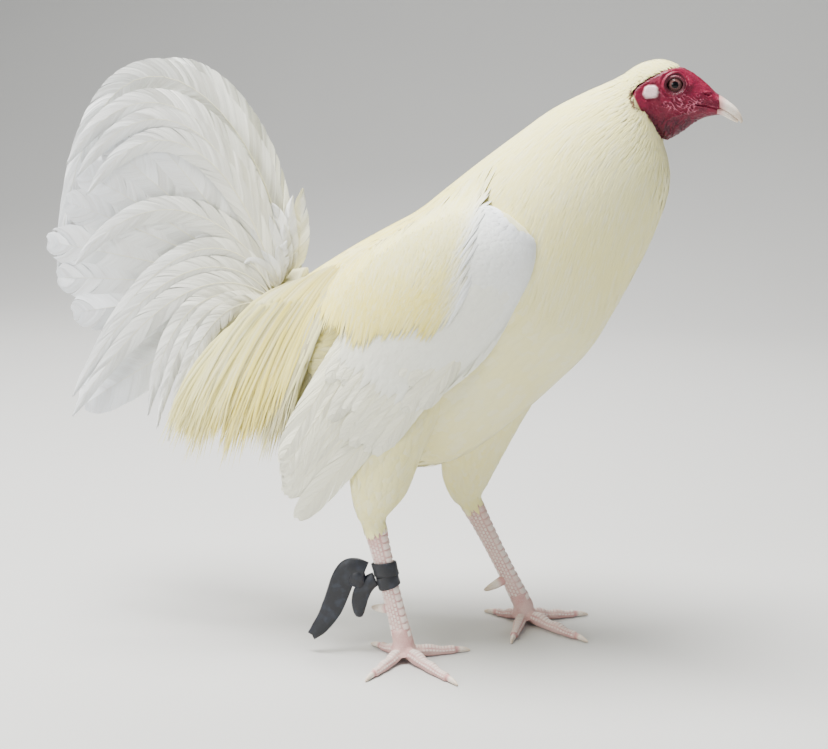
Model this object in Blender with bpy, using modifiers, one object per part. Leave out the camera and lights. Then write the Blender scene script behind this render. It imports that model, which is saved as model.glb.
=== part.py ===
"""An Old English game cock at life size, standing still, in named sub-parts.

Run with: blender --background --python part.py
The objects are in metres with +Z up, +X the way the bird faces and +Y its left. Lengths
in this file are millimetres, and MM scales them where a mesh is made. The feet stand on
z = 0. Points written as two numbers are x and z in the bird's middle plane or in a plane
beside it, and FRAME moves the whole bird so that the origin is under the middle of its box.
"""

import math

import bmesh
import bpy
import numpy as np
from mathutils import Matrix

MM = 0.001
FRAME = (-4.5, 13.3, 0.0)  # the right foot's outer toe reaches further out than the rest
GAP = 0.3  # left between nodes that meet
SIDES = (("right", -1), ("left", 1))

# The trunk from the nape to the vent: back x and z, belly x and z, half width.
TRUNK = (
    (203, 475, 225, 417, 20),
    (188, 465, 229, 404, 27),
    (164, 454, 231, 388, 36),
    (139, 441, 228, 370, 44),
    (114, 423, 217, 339, 53),
    (82, 399, 204, 311, 60),
    (58, 380, 189, 282, 64),
    (34, 361, 172, 253, 66),
    (9, 347, 148, 227, 65),
    (-16, 333, 110, 191, 60),
    (-37, 320, 66, 158, 53),
    (-57, 307, 20, 150, 44),
    (-74, 295, -28, 166, 34),
    (-84, 276, -62, 208, 20),
)
TRUNK_SWELL = 0.08  # how much wider the section is above its middle
NECK_END = 5.0
TORSO_END = 8.6
RUMP_END = 13.0
CUT_STEP = 0.005  # of a section either side of a cut, which leaves the gap there
NECK_STATIONS = np.linspace(0, NECK_END - CUT_STEP, 12)
TORSO_STATIONS = np.linspace(NECK_END + CUT_STEP, TORSO_END - CUT_STEP, 12)
RUMP_STATIONS = np.linspace(TORSO_END + CUT_STEP, RUMP_END, 10)
BODY_STATIONS = np.concatenate([TORSO_STATIONS, RUMP_STATIONS])

# The head from the nape to the bill: top x and z, bottom x and z, half width.
HEAD = (
    (203.3, 475.1, 225.3, 417.1, 20.0),
    (214.0, 479, 229.0, 419.5, 20.0),
    (224.0, 479.5, 232.0, 421, 19.5),
    (234.0, 476, 238.0, 424.5, 18.5),
    (243.0, 471, 245.5, 430.5, 16.0),
    (253.0, 463.5, 254.0, 435.8, 12.5),
    (261.0, 457.3, 262.0, 438, 9.6),
    (266.0, 453.8, 267.0, 438.8, 7.8),
)
HEAD_SWELL = 0.22
EYE = (233.5, 461.5)
EYE_RADIUS = 6.6
EYE_SIDE = 12.2  # the eyeball's centre, out from the middle plane
LID_RADIUS = 6.3
LID_TUBE = 1.5
LID_SIDE = 17.1
EARLOBE = (216.5, 455.0)
EARLOBE_SIZE = (8.0, 3.2, 6.2)
EARLOBE_SIDE = 20.6
NOSTRIL = (257.5, 454.0)
NOSTRIL_SIDE = 9.4
NOSTRIL_SIZE = (2.6, 1.8, 0.9)
COMB = (
    (238, 473.5, 237, 468, 2.0),
    (246, 469.5, 245, 464, 2.8),
    (255, 463.0, 254, 457, 3.0),
    (263, 456.4, 262, 451, 2.2),
)
MOUTH = ((250.0, 446.2), (259.0, 444.6), (268.5, 442.2))
MOUTH_DEPTH = 1.3

BILL_UPPER = (
    (266.4, 453.5, 267.3, 443.2, 7.6),
    (273.0, 449.2, 273.2, 440.8, 6.2),
    (279.0, 444.6, 278.2, 437.4, 4.3),
    (283.0, 439, 281.6, 434.6, 2.6),
    (284.6, 433.6, 283.2, 432.2, 0.9),
)
BILL_LOWER = (
    (267.4, 442.7, 267.4, 438.9, 6.6),
    (273.2, 440.2, 273.4, 436, 5.0),
    (278.0, 436.7, 278.0, 433.9, 3.0),
    (280.9, 434.2, 280.6, 433.2, 1.0),
)

# Legs: front x and z, back x and z, half width, middle's distance from the middle plane.
THIGHS = {
    "right": (
        (78, 240, 2, 222, 20, 33), (60, 205, -14, 182, 24, 38), (42, 164, -15, 154, 23, 41),
        (32, 138, -12, 134, 18, 46), (21, 124, -7, 119, 12, 50),
    ),
    "left": (
        (140, 240, 62, 216, 20, 33), (126, 206, 50, 176, 24, 38), (110, 176, 45, 144, 23, 41),
        (95, 147, 46, 124, 18, 46), (82, 121, 53, 107, 12, 50),
    ),
}
HOCK = {"right": (6.5, 114.2, 51), "left": (68.4, 104.8, 51)}
ANKLE = {"right": (31, 15, 52), "left": (115, 15, 52)}
SHANK_RADII = (9.6, 8.4, 7.6, 7.4, 7.6, 8.6)  # from the hock to the foot, front to back
SHANK_NARROW = 0.82  # side to side, as a share of front to back
SCUTES = 9
SCUTE_RISE = 0.7

# Toes: direction in degrees from straight ahead, length and root radius, for a right foot.
TOES = {
    "right": {
        "toe_1": (146, 26, 5.0),
        "toe_2": (26, 44, 5.6),
        "toe_3": (-42, 60, 6.2),
        "toe_4": (-108, 46, 5.4),
    },
    "left": {
        "toe_1": (160, 26, 5.0),
        "toe_2": (-92, 44, 5.6),
        "toe_3": (-34, 60, 6.2),
        "toe_4": (24, 46, 5.4),
    },
}
TOE_TIP_RADIUS = 3.1
TOE_JOINT = 0.10  # how much a toe swells at its joints
TOE_ARCH = 4.0  # how much higher a toe's middle is at the foot
PAD_RADIUS = 10.5
SOLE_SUNK = 4.0  # how far below the floor the foot's middle would end, which flattens the sole
CLAW_LENGTH = 13.5
CLAW_RADIUS = 2.7
CLAW_DROOP = 1.6
SPUR_LENGTH = 23
SPUR_RADIUS = 4.4
SPUR_AT = 0.72  # down the shank

# The wing lies along a line from its bend to its tip. Along is measured from the bend,
# and across from that line towards the back.
WING_BEND = np.array((118.0, 352.0))
WING_TIP = np.array((-67.0, 111.0))
WING_LENGTH = float(np.linalg.norm(WING_TIP - WING_BEND))
WING_ALONG = (WING_TIP - WING_BEND) / WING_LENGTH
WING_ACROSS = np.array((WING_ALONG[1], -WING_ALONG[0]))
# The fleshy part: along, lowest and highest across, rise over the feather sheet.
WING_ARM = (
    (-9, -8, 14, 3.0),
    (-3, -20, 28, 7.0),
    (18, -32, 46, 10.0),
    (50, -40, 62, 8.6),
    (85, -42, 73, 6.4),
    (115, -38, 76, 4.4),
    (142, -30, 70, 2.2),
)
FEATHER_STEP = 1.0  # from one overlapping vane out to the next
VANE_THICKNESS = 0.62
WING_ROOT = 2.2  # how far a wing vane rises from its root
WING_DEPTH = 10.0  # how far the fleshy part goes in behind its sheet
WING_SHEET = (66.0, 5.0, 220.0, 0.0048)  # distance out, its rise midway, over what length, fall across
FLIGHT_BOW = 6.0  # how far a flight feather bows towards the back, and a covert half as far

# Tail vanes: root, two handles and tip of a Bezier curve, and the greatest width.
TAIL_ROOT = (-84.0, 290.0)
TAIL_CORE = (25.0, 21.0, 30.0)
MAIN_SICKLE = ((-78, 304), (-80, 452), (-234, 586), (-268, 296), 30)
SICKLES = (
    ((-82, 302), (-96, 420), (-180, 505), (-252, 394), 27),
    ((-84, 300), (-104, 392), (-170, 468), (-236, 370), 24),
    ((-86, 298), (-120, 366), (-190, 388), (-248, 312), 24),
    ((-86, 294), (-118, 360), (-190, 330), (-242, 220), 19),
    ((-86, 288), (-140, 328), (-202, 268), (-250, 188), 22),
)
HANGERS = (
    ((-86, 284), (-146, 312), (-176, 262), (-186, 190), 19),
    ((-84, 281), (-124, 300), (-158, 246), (-168, 170), 17),
)
COVERTS = (
    ((-80, 300), (-74, 336), (-82, 366), (-98, 404), 24),
    ((-79, 299), (-70, 318), (-74, 340), (-84, 366), 19),
    ((-76, 296), (-68, 322), (-72, 344), (-58, 350), 10),
)
FAN_TIPS = (
    (-190, 430), (-222, 414), (-245, 392), (-258, 366), (-275, 332), (-268, 302), (-256, 272), (-248, 194),
)
FAN_WIDTH = 40
FAN_SAG = 4  # how far each feather of the fan bows below a straight line
SPLAY_DEGREES = (4.0, 10.0)  # out from the middle plane, at the top and the bottom of the fan

STRAP_TOP = 0.335  # down the shank
STRAP_BOTTOM = 0.545
STRAP_THICKNESS = 2.0
STRAP_EASE = 0.1  # between the band and the gap round the scutes
STRAP_SEGMENTS = 16
STRAP_SIDE = 53.0  # the folded end's distance from the middle plane
STRAP_FOLD = ((0, 73), (-26, 84), (-14, 46), (-45, 15), 20)
STRAP_LOBE = ((8, 66), (-4, 60), (-7, 48), (-6, 33), 15)
STRAP_KNOT = (-7.0, 67.0)
STRAP_KNOT_SIZE = (7.5, 4.6, 9.0)
STRAP_VANE = ((0.0, 0.8), (0.25, 0.95), (0.5, 1.0), (0.75, 0.8), (0.92, 0.4), (1.0, 0.1))


def spline(rows, at):
    """Values between the rows on a Catmull-Rom curve, where at counts rows from 0."""
    rows = np.asarray(rows, float)
    at = np.clip(np.atleast_1d(np.asarray(at, float)), 0, len(rows) - 1)
    start = np.minimum(at.astype(int), len(rows) - 2)
    t = (at - start)[:, None]
    before, here, after, beyond = (rows[np.clip(start + k, 0, len(rows) - 1)] for k in (-1, 0, 1, 2))
    square = 2 * before - 5 * here + 4 * after - beyond
    cube = 3 * here - before - 3 * after + beyond
    return 0.5 * (2 * here + (after - before) * t + square * t**2 + cube * t**3)


def bezier(points, t):
    """Points on a cubic Bezier curve through four control points."""
    a, b, c, d = (np.asarray(p, float) for p in points)
    t = np.asarray(t, float)[:, None]
    return a * (1 - t) ** 3 + 3 * b * t * (1 - t) ** 2 + 3 * c * t**2 * (1 - t) + d * t**3


def mix(a, b, share):
    """Between two numbers, or two control lists of the same form."""
    if isinstance(a, (tuple, list)):
        return tuple(mix(p, q, share) for p, q in zip(a, b))
    return a + (b - a) * share


def smoothstep(low, high, value):
    t = np.clip((value - low) / (high - low), 0, 1)
    return t * t * (3 - 2 * t)


def new_object(name, points, faces):
    """A mesh object from points in millimetres, with its faces turned outwards."""
    mesh = bpy.data.meshes.new(name)
    placed = (np.asarray(points) + FRAME) * MM
    mesh.from_pydata(placed.tolist(), [], [tuple(int(i) for i in f) for f in faces])
    bm = bmesh.new()
    bm.from_mesh(mesh)
    bmesh.ops.remove_doubles(bm, verts=bm.verts, dist=1e-6)
    bmesh.ops.recalc_face_normals(bm, faces=bm.faces)
    bm.to_mesh(mesh)
    bm.free()
    obj = bpy.data.objects.new(name, mesh)
    MODEL.objects.link(obj)
    return obj


def loft(name, rings, domed=(0.0, 0.0)):
    """A closed body through rings of points. Domed pushes the middle of each end cap out."""
    rings = np.asarray(rings, float)
    count, around = rings.shape[:2]
    ends = []
    for ring, inner, push in ((rings[0], rings[1], domed[0]), (rings[-1], rings[-2], domed[1])):
        way = ring.mean(0) - inner.mean(0)
        ends.append(ring.mean(0) + way / (np.linalg.norm(way) + 1e-9) * push)
    points = np.concatenate([rings.reshape(-1, 3), ends])
    faces = []
    for i in range(count - 1):
        for j in range(around):
            k = (j + 1) % around
            a, b, c, d = i * around + j, i * around + k, (i + 1) * around + k, (i + 1) * around + j
            faces += [(a, b, c), (a, c, d)]
    first, last = count * around, count * around + 1
    for j in range(around):
        k = (j + 1) % around
        faces.append((first, k, j))
        faces.append((last, (count - 1) * around + j, (count - 1) * around + k))
    return new_object(name, points, faces)


def section(row, angles, swell=0.0, grow=0.0, side=1):
    """One cross-section: row is top x, z, bottom x, z, half width and, for a leg, its place beside."""
    top, bottom = np.array(row[0:2], float), np.array(row[2:4], float)
    beside = row[5] if len(row) > 5 else 0.0
    middle, up = (top + bottom) / 2, (top - bottom) / 2
    c, s = np.cos(angles), np.sin(angles)
    high = c * (1 + grow / np.linalg.norm(up))
    half = row[4] + grow
    out = side * (beside + half * s * (1 + swell * c))
    return np.stack([middle[0] + up[0] * high, out, middle[1] + up[1] * high], axis=1)


def ring_angles(count):
    return np.linspace(0, 2 * math.pi, count, endpoint=False)


def sections(rows, stations, around, **shape):
    return np.array([section(row, ring_angles(around), **shape) for row in spline(rows, stations)])


def trunk_rings(stations, around=24, grow=0.0):
    return sections(TRUNK, stations, around, swell=TRUNK_SWELL, grow=grow)


def trunk_point(station, angle):
    """A point on the trunk's skin: angle 0 is the back and pi the belly, positive to the left."""
    row = spline(TRUNK, station)[0]
    return section(row, np.array([angle]), swell=TRUNK_SWELL)[0]


def trunk_normal(station, angle):
    """The outward direction of the trunk's skin there."""
    step = 0.02
    along = trunk_point(station + step, angle) - trunk_point(station - step, angle)
    round_it = trunk_point(station, angle + step) - trunk_point(station, angle - step)
    normal = np.cross(round_it, along)
    return normal / np.linalg.norm(normal)


FINE_STATIONS = np.linspace(0, len(TRUNK) - 1, 260)
FINE_ROWS = spline(TRUNK, FINE_STATIONS)


def trunk_side(x, z):
    """How far the trunk's skin is from the middle plane at x and z, or 0 outside its outline."""
    middle = (FINE_ROWS[:, 0:2] + FINE_ROWS[:, 2:4]) / 2
    up = (FINE_ROWS[:, 0:2] - FINE_ROWS[:, 2:4]) / 2
    reach = np.hypot(up[:, 0], up[:, 1])
    away = np.array([x, z]) - middle
    share = (away * up).sum(1) / reach**2
    off_line = np.abs(away[:, 0] * up[:, 1] - away[:, 1] * up[:, 0]) / reach
    best = int(np.argmin(off_line + 1000 * (np.abs(share) > 1)))
    if off_line[best] > 3:
        return 0.0
    q = share[best]
    return float(FINE_ROWS[best, 4] * math.sqrt(max(0.0, 1 - q * q)) * (1 + TRUNK_SWELL * q))


def plate(name, left_edge, right_edge, outwards, thickness):
    """A thin closed vane between two edges, split into the same triangles on both faces."""
    count = len(left_edge)
    half = outwards * np.asarray(thickness, float)[:, None] / 2
    points = np.concatenate([left_edge + half, right_edge + half, left_edge - half, right_edge - half])
    faces = []
    for i in range(count - 1):
        a, b, c, d = i, count + i, count + i + 1, i + 1
        e, f, g, h = (v + 2 * count for v in (a, b, c, d))
        faces += [(a, b, c), (a, c, d), (e, g, f), (e, h, g)]
        faces += [(a, d, h), (a, h, e), (b, f, g), (b, g, c)]
    last = count - 1
    faces += [(0, 2 * count, 3 * count), (0, 3 * count, count)]
    faces += [(last, count + last, 3 * count + last), (last, 3 * count + last, 2 * count + last)]
    return new_object(name, points, faces)


# Shares of a vane's length where its width is set, and the width there.
ROUND_VANE = ((0.0, 0.45), (0.22, 0.78), (0.5, 1.0), (0.8, 0.96), (0.94, 0.62), (1.0, 0.2))
SICKLE_VANE = (
    (0.0, 0.4), (0.12, 0.72), (0.26, 0.94), (0.38, 1.0), (0.49, 0.98), (0.59, 0.92), (0.7, 0.8), (0.82, 0.6),
    (0.92, 0.36), (1.0, 0.08),
)
POINTED_VANE = ((0.0, 0.7), (0.25, 1.0), (0.55, 0.92), (0.82, 0.5), (1.0, 0.08))
BROAD_POINTED_VANE = ((0.0, 0.5), (0.2, 0.85), (0.45, 1.0), (0.7, 0.8), (0.9, 0.42), (1.0, 0.08))
SADDLE_VANE = ((0.0, 0.5), (0.2, 0.85), (0.5, 1.0), (0.78, 0.9), (0.93, 0.5), (1.0, 0.1))
LOCK_THINNING = (1.0, 1.0, 0.9, 0.7, 0.5)  # of a trunk lock's thickness, at each share of POINTED_VANE
VANE_ROOT_SHARE = 0.25  # of a side vane's length, over which it rises from a sunk root


def side_vane(
    name, controls, width, form, sheet, lift, side, thickness=VANE_THICKNESS, root_out=None, tilt=0.0,
    curled=True,
):
    """A vane that lies in a sheet beside the middle plane.

    Sheet gives the distance out at x and z. Root_out is the root's own distance, where that
    is sunk below the sheet. Tilt raises the edge towards the back over the next vane and
    lowers the other edge. A vane that isn't curled stays flat across.
    """
    shares = np.array([f[0] for f in form])
    centre = bezier(controls, shares)
    beyond, before = np.minimum(shares + 0.02, 1.0), np.maximum(shares - 0.02, 0.0)
    ahead = bezier(controls, beyond) - bezier(controls, before)
    ahead /= np.linalg.norm(ahead, axis=1)[:, None]
    across = np.stack([-ahead[:, 1], ahead[:, 0]], axis=1)
    half = (width / 2 * np.array([f[1] for f in form]))[:, None]
    middle = np.array([sheet(x, z) for x, z in centre])
    depth = 0.0 if root_out is None else middle[0] + lift - root_out
    sunk = depth * (1 - smoothstep(0.0, VANE_ROOT_SHARE, shares))
    edges = []
    for sign in (1, -1):
        edge = centre + sign * half * across
        out = np.array([sheet(x, z) for x, z in edge]) if curled else middle
        out = out + lift - sunk - sign * tilt
        edges.append(np.stack([edge[:, 0], side * out, edge[:, 1]], axis=1))
    outwards = np.tile([0.0, side, 0.0], (len(form), 1))
    thick = np.where(shares > 0.95, 0.7, 1.0) * thickness
    return plate(name, edges[0], edges[1], outwards, thick)


def trunk_lock(name, root, tip, width, lifts, thickness, tilt=0.0):
    """A flat tapered lock that lies along the trunk, from one station and angle to another.

    Tilt raises the edge on the higher angle's side and lowers the other.
    """
    form = POINTED_VANE
    left, right, outwards = [], [], []
    for share, wide in form:
        station = root[0] + (tip[0] - root[0]) * share
        angle = root[1] + (tip[1] - root[1]) * share
        normal = trunk_normal(station, angle)
        near = trunk_point(station - 0.05, angle - 0.05 * (tip[1] - root[1]) / (tip[0] - root[0]))
        ahead = trunk_point(station, angle) - near
        across = np.cross(ahead, normal)
        across *= width / 2 * wide / np.linalg.norm(across)
        centre = trunk_point(station, angle) + normal * np.interp(share, (0, 0.3, 1), lifts)
        left.append(centre + across + normal * tilt)
        right.append(centre - across - normal * tilt)
        outwards.append(normal)
    thick = thickness * np.array(LOCK_THINNING)
    return plate(name, np.array(left), np.array(right), np.array(outwards), thick)


def applied(obj):
    """The object with its modifiers made part of its mesh."""
    bpy.context.view_layer.update()
    mesh = bpy.data.meshes.new_from_object(obj.evaluated_get(bpy.context.evaluated_depsgraph_get()))
    obj.modifiers.clear()
    obj.data = mesh
    return obj


def discard(objects):
    for obj in objects:
        bpy.data.objects.remove(obj)


def boolean(obj, others, operation):
    """One Boolean of obj with all the others, which are then removed."""
    group = bpy.data.collections.new("operands")
    bpy.context.scene.collection.children.link(group)
    for other in others:
        MODEL.objects.unlink(other)
        group.objects.link(other)
    modifier = obj.modifiers.new(operation.lower(), "BOOLEAN")
    modifier.operation = operation
    modifier.operand_type = "COLLECTION"
    modifier.collection = group
    modifier.solver = "EXACT"
    applied(obj)
    discard(others)
    bpy.data.collections.remove(group)
    return obj


def shells(bm):
    """The faces of each closed surface in a mesh."""
    left = set(bm.faces)
    while left:
        found, front = set(), [next(iter(left))]
        while front:
            face = front.pop()
            if face in found:
                continue
            found.add(face)
            front += [f for edge in face.edges for f in edge.link_faces if f not in found]
        left -= found
        yield found


def shell_volume(faces):
    total = 0.0
    for face in faces:
        a, *rest = (v.co for v in face.verts)
        total += sum(a.dot(b.cross(c)) for b, c in zip(rest, rest[1:])) / 6
    return total


def keep_largest(obj):
    """Drops loose scraps and the walls of hollows that the fusing sealed."""
    bm = bmesh.new()
    bm.from_mesh(obj.data)
    found = sorted(shells(bm), key=shell_volume)
    spare = [face for faces in found[:-1] for face in faces]
    bmesh.ops.delete(bm, geom=spare, context="FACES")
    bmesh.ops.triangulate(bm, faces=bm.faces)
    bm.to_mesh(obj.data)
    bm.free()
    return obj


def fused(core, pieces, cutters=()):
    """Pieces joined to core by a union, then the cutters taken away, as one closed body."""
    if pieces:
        boolean(core, pieces, "UNION")
    if cutters:
        boolean(core, list(cutters), "DIFFERENCE")
    return keep_largest(core)


def primitive(name, add, **shape):
    """A Blender primitive taken into the model, with its place and scale made part of its mesh."""
    add(**shape)
    obj = bpy.context.object
    obj.name = name
    obj.data.transform(Matrix.Scale(MM, 4) @ Matrix.Translation(FRAME) @ obj.matrix_basis)
    obj.matrix_basis = Matrix.Identity(4)
    for home in list(obj.users_collection):
        home.objects.unlink(obj)
    MODEL.objects.link(obj)
    return obj


def ellipsoid(name, centre, radii, segments=16, rings=10):
    """A round body; centre and radii are along x, y and z."""
    return primitive(
        name, bpy.ops.mesh.primitive_uv_sphere_add, radius=1.0, segments=segments, ring_count=rings,
        location=centre, scale=radii,
    )


def tapered_tube(name, path, radii, around=8, flat_floor=False):
    """A tube round a path, with its own radius at each point. A flat floor stops it at z = 0."""
    path, radii = np.asarray(path, float), np.asarray(radii, float)
    ahead = np.gradient(path, axis=0)
    rings = []
    for centre, radius, way in zip(path, radii, ahead):
        way = way / np.linalg.norm(way)
        beside = np.cross(way, (0.0, 0.0, 1.0)) if abs(way[2]) < 0.9 else np.array((0.0, 1.0, 0.0))
        beside /= np.linalg.norm(beside)
        over = np.cross(beside, way)
        angles = ring_angles(around) + math.pi / around
        ring = centre + radius * (np.outer(np.cos(angles), beside) + np.outer(np.sin(angles), over))
        if flat_floor:
            ring[:, 2] = np.maximum(ring[:, 2], 0.0)
        rings.append(ring)
    return loft(name, rings)


# Hackles: ring of roots' station, tips' station at the back, side and breast, and how many.
HACKLE_TIERS = (
    (0.7, (2.3, 2.3, 2.3), 7),
    (1.9, (3.8, 3.6, 3.7), 11),
    (3.1, (6.2, 5.12, 5.6), 15),
)
HACKLE_FRONT = math.radians(166)
HACKLE_LIFTS = (-6.5, 0.3, 1.3)  # at the root, at 0.3 of the length and at the tip
HACKLE_TILT = 1.0
HACKLE_THICKNESS = 1.0
HACKLE_OVERLAP = 1.15
HACKLE_OVER_TORSO = 1.2  # how much higher the tips are that pass the neck's end
NECK_SUNK = 2.5  # the neck's core under the hackles, below the trunk's own outline


def build_neck():
    core = loft("neck", trunk_rings(NECK_STATIONS, around=20, grow=-NECK_SUNK))
    locks = []
    for tier, (root, tips, count) in enumerate(HACKLE_TIERS):
        for i in range(count):
            angle = HACKLE_FRONT * (2 * i / (count - 1) - 1)
            turn = abs(angle) / math.pi
            back, beside, breast = tips
            ends = (back, back, beside, beside, breast, breast)
            tip = np.interp(turn, (0.0, 0.2, 0.3, 0.62, 0.72, 1.0), ends)
            half_width = spline(TRUNK, (root + tip) / 2)[0][4]
            width = HACKLE_OVERLAP * 2 * HACKLE_FRONT * half_width / (count - 1)
            lifts = np.array(HACKLE_LIFTS) + (0.8 if i == count // 2 else 0.0)
            if tip > NECK_END:
                lifts[2] += HACKLE_OVER_TORSO
            tilt = HACKLE_TILT * np.sign(i - count // 2)
            place = (root, angle), (tip, angle)
            locks.append(trunk_lock(f"hackle_{tier}_{i}", *place, width, lifts, HACKLE_THICKNESS, tilt))
    clear = loft("torso_clear", trunk_rings(TORSO_STATIONS[:6], grow=GAP))
    return fused(core, locks, [clear])


# Cape locks down the middle of the back: roots' and tips' stations, widest angle and how many.
CAPE_ROOT, CAPE_TIP = 6.4, 8.54
CAPE_SPREAD = math.radians(33)
CAPE_LOCKS = 7
CAPE_WIDTH = 15.0
CAPE_LIFTS = (-6.5, 0.2, 0.9)
CAPE_TILT = 0.7


def build_torso():
    core = loft("torso", trunk_rings(TORSO_STATIONS))
    locks = []
    for i, angle in enumerate(np.linspace(-CAPE_SPREAD, CAPE_SPREAD, CAPE_LOCKS)):
        from_middle = i - CAPE_LOCKS // 2
        lifts = np.array(CAPE_LIFTS) + (0.5 if from_middle == 0 else 0.0)
        tip = CAPE_TIP - 0.1 * abs(from_middle)
        tilt = CAPE_TILT * np.sign(from_middle)
        place = (CAPE_ROOT, angle), (tip, angle)
        locks.append(trunk_lock(f"cape_{i}", *place, CAPE_WIDTH, lifts, HACKLE_THICKNESS, tilt))
    return fused(core, locks)


def saddle_sheet(x, z):
    """How far out the saddle hackles hang: outside the rump, and flaring a little behind it."""
    flare = 33 + 15 * smoothstep(0, 170, math.hypot(x + 40, z - 306))
    return max(trunk_side(x, z) + 1.3, flare)


# Saddle hackles: the foremost and the hindmost lock of each tier, how many, their width and lift.
SADDLE_TIERS = (
    (
        ((-22, 296), (-36, 278), (-64, 240), (-80, 172)),
        ((-65, 283), (-102, 286), (-146, 240), (-170, 172)),
        9, 18, 0.6,
    ),
    (
        ((-8, 330), (-28, 300), (-50, 256), (-62, 206)),
        ((-56, 303), (-94, 296), (-124, 250), (-142, 200)),
        7, 19, 4.0,
    ),
)
SADDLE_TILT = 1.3
SADDLE_THICKNESS = 0.7
SADDLE_ROOT = 9.0  # how deep the roots of the saddle hackles are in the rump
SADDLE_UNEVEN = 6.0  # how much the tips' heights differ
RUMP_DOME = 6.0  # how far the rump's end is pushed out under the tail


def build_rump():
    core = loft("rump", trunk_rings(RUMP_STATIONS), domed=(0, RUMP_DOME))
    locks = []
    for name, side in SIDES:
        for tier, (first, last, count, width, lift) in enumerate(SADDLE_TIERS):
            for i in range(count):
                *controls, (tip_x, tip_z) = mix(first, last, i / (count - 1))
                controls.append((tip_x, tip_z + SADDLE_UNEVEN * math.sin(2.4 * i + tier)))
                root_out = max(0.0, trunk_side(*controls[0]) - SADDLE_ROOT)
                locks.append(
                    side_vane(
                        f"saddle_{name}_{tier}_{i}", controls, width, SADDLE_VANE, saddle_sheet, lift, side,
                        thickness=SADDLE_THICKNESS, root_out=root_out, tilt=SADDLE_TILT, curled=False,
                    )
                )
    return fused(core, locks)


def tail_sheet(x, z):
    """How far out the fan of the tail stands, as a tent that opens downwards."""
    away_x, away_z = x - TAIL_ROOT[0], z - TAIL_ROOT[1]
    turn = math.degrees(math.atan2(away_z, away_x)) % 360
    splay = np.interp(turn, (95, 205), SPLAY_DEGREES)
    return 1.4 + math.hypot(away_x, away_z) * math.tan(math.radians(splay))


def fan_controls(tip):
    """The four control points of one main tail feather."""
    root, tip = np.array(TAIL_ROOT), np.array(tip, float)
    down = np.array((tip[1] - root[1], root[0] - tip[0]))
    down *= FAN_SAG / np.linalg.norm(down) * -1
    return [root * 0.95 + tip * 0.05, root * 0.65 + tip * 0.35 - down, root * 0.3 + tip * 0.7 - down, tip]


def build_tail():
    core = ellipsoid("tail", (TAIL_ROOT[0], 0, TAIL_ROOT[1]), TAIL_CORE, 12, 8)
    layers = [("main_sickle", MAIN_SICKLE[:4], MAIN_SICKLE[4], SICKLE_VANE, 0)]
    fan = len(FAN_TIPS)
    for i, tip in enumerate(FAN_TIPS):
        layers.append((f"fan_{i}", fan_controls(tip), FAN_WIDTH, ROUND_VANE, fan - i + 0.2))
    for i, (*controls, width) in enumerate(SICKLES):
        layers.append((f"sickle_{i}", controls, width, SICKLE_VANE, fan + 1.4 + i))
    for i, (*controls, width) in enumerate(HANGERS):
        layers.append((f"hanger_{i}", controls, width, BROAD_POINTED_VANE, fan + 6.6 + i))
    for i, (*controls, width) in enumerate(COVERTS):
        layers.append((f"covert_{i}", controls, width, BROAD_POINTED_VANE, fan + 6.6 + i))
    vanes = [
        side_vane(f"{label}_{name}", controls, width, form, tail_sheet, layer * FEATHER_STEP, side)
        for name, side in SIDES
        for label, controls, width, form, layer in layers
    ]
    rump = loft("rump_clear", trunk_rings(RUMP_STATIONS, grow=GAP), domed=(0, RUMP_DOME + GAP))
    return fused(core, vanes, [rump])


def wing_place(x, z):
    """Along and across the wing, for a point x and z."""
    away = np.array([x, z]) - WING_BEND
    return float(away @ WING_ALONG), float(away @ WING_ACROSS)


def wing_point(along, across):
    return WING_BEND + along * WING_ALONG + across * WING_ACROSS


def wing_sheet(x, z):
    """How far out the innermost vane of the folded wing lies."""
    along, across = wing_place(x, z)
    level, rise, length, fall = WING_SHEET
    return level + rise * math.sin(math.pi * np.clip(along, 0, 295) / length) - fall * across**2


def wing_layer(across):
    """Each vane lies over the one below it, so the sheet steps out towards the back."""
    return FEATHER_STEP * (across + 26) / 11


SADDLE_STAND = 7.6
SADDLE_EDGE_DEGREES = (80, 64)  # round from the back, where the saddle's stand begins and is full


def saddle_grow(around):
    """How far the saddle hackles stand off the rump, at each angle round it."""
    low, high = (math.cos(math.radians(degrees)) for degrees in SADDLE_EDGE_DEGREES)
    return SADDLE_STAND * smoothstep(low, high, np.cos(ring_angles(around)))


def wing_arm_rings(side):
    rings = []
    for along, low, high, rise in spline(WING_ARM, np.linspace(0, len(WING_ARM) - 1, 9)):
        middle, half = (low + high) / 2, (high - low) / 2
        ring = []
        for angle in ring_angles(12):
            across = middle + half * math.cos(angle)
            x, z = wing_point(along, across)
            out = wing_sheet(x, z) + wing_layer(across) * smoothstep(-10, 40, along)
            out += (rise if math.sin(angle) > 0 else WING_DEPTH) * math.sin(angle)
            ring.append((x, side * out, z))
        rings.append(ring)
    return rings


# Wing vanes: root along and across, tip along and across, for the lowest vane and the
# highest, then how many, width, tier and outline.
WING_TIERS = {
    "flight": (((88, -24), (296, -3)), ((70, 64), (262, 36)), 8, 27, 0.0, ROUND_VANE),
    "greater_covert": (((52, -28), (186, -30)), ((40, 58), (150, 66)), 6, 30, 2.5, ROUND_VANE),
    "median_covert": (((14, -24), (112, -34)), ((14, 40), (96, 62)), 5, 30, 4.6, ROUND_VANE),
    "wing_bow": (((4, 8), (86, -8)), ((58, 66), (150, 64)), 5, 25, 6.8, POINTED_VANE),
}


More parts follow.
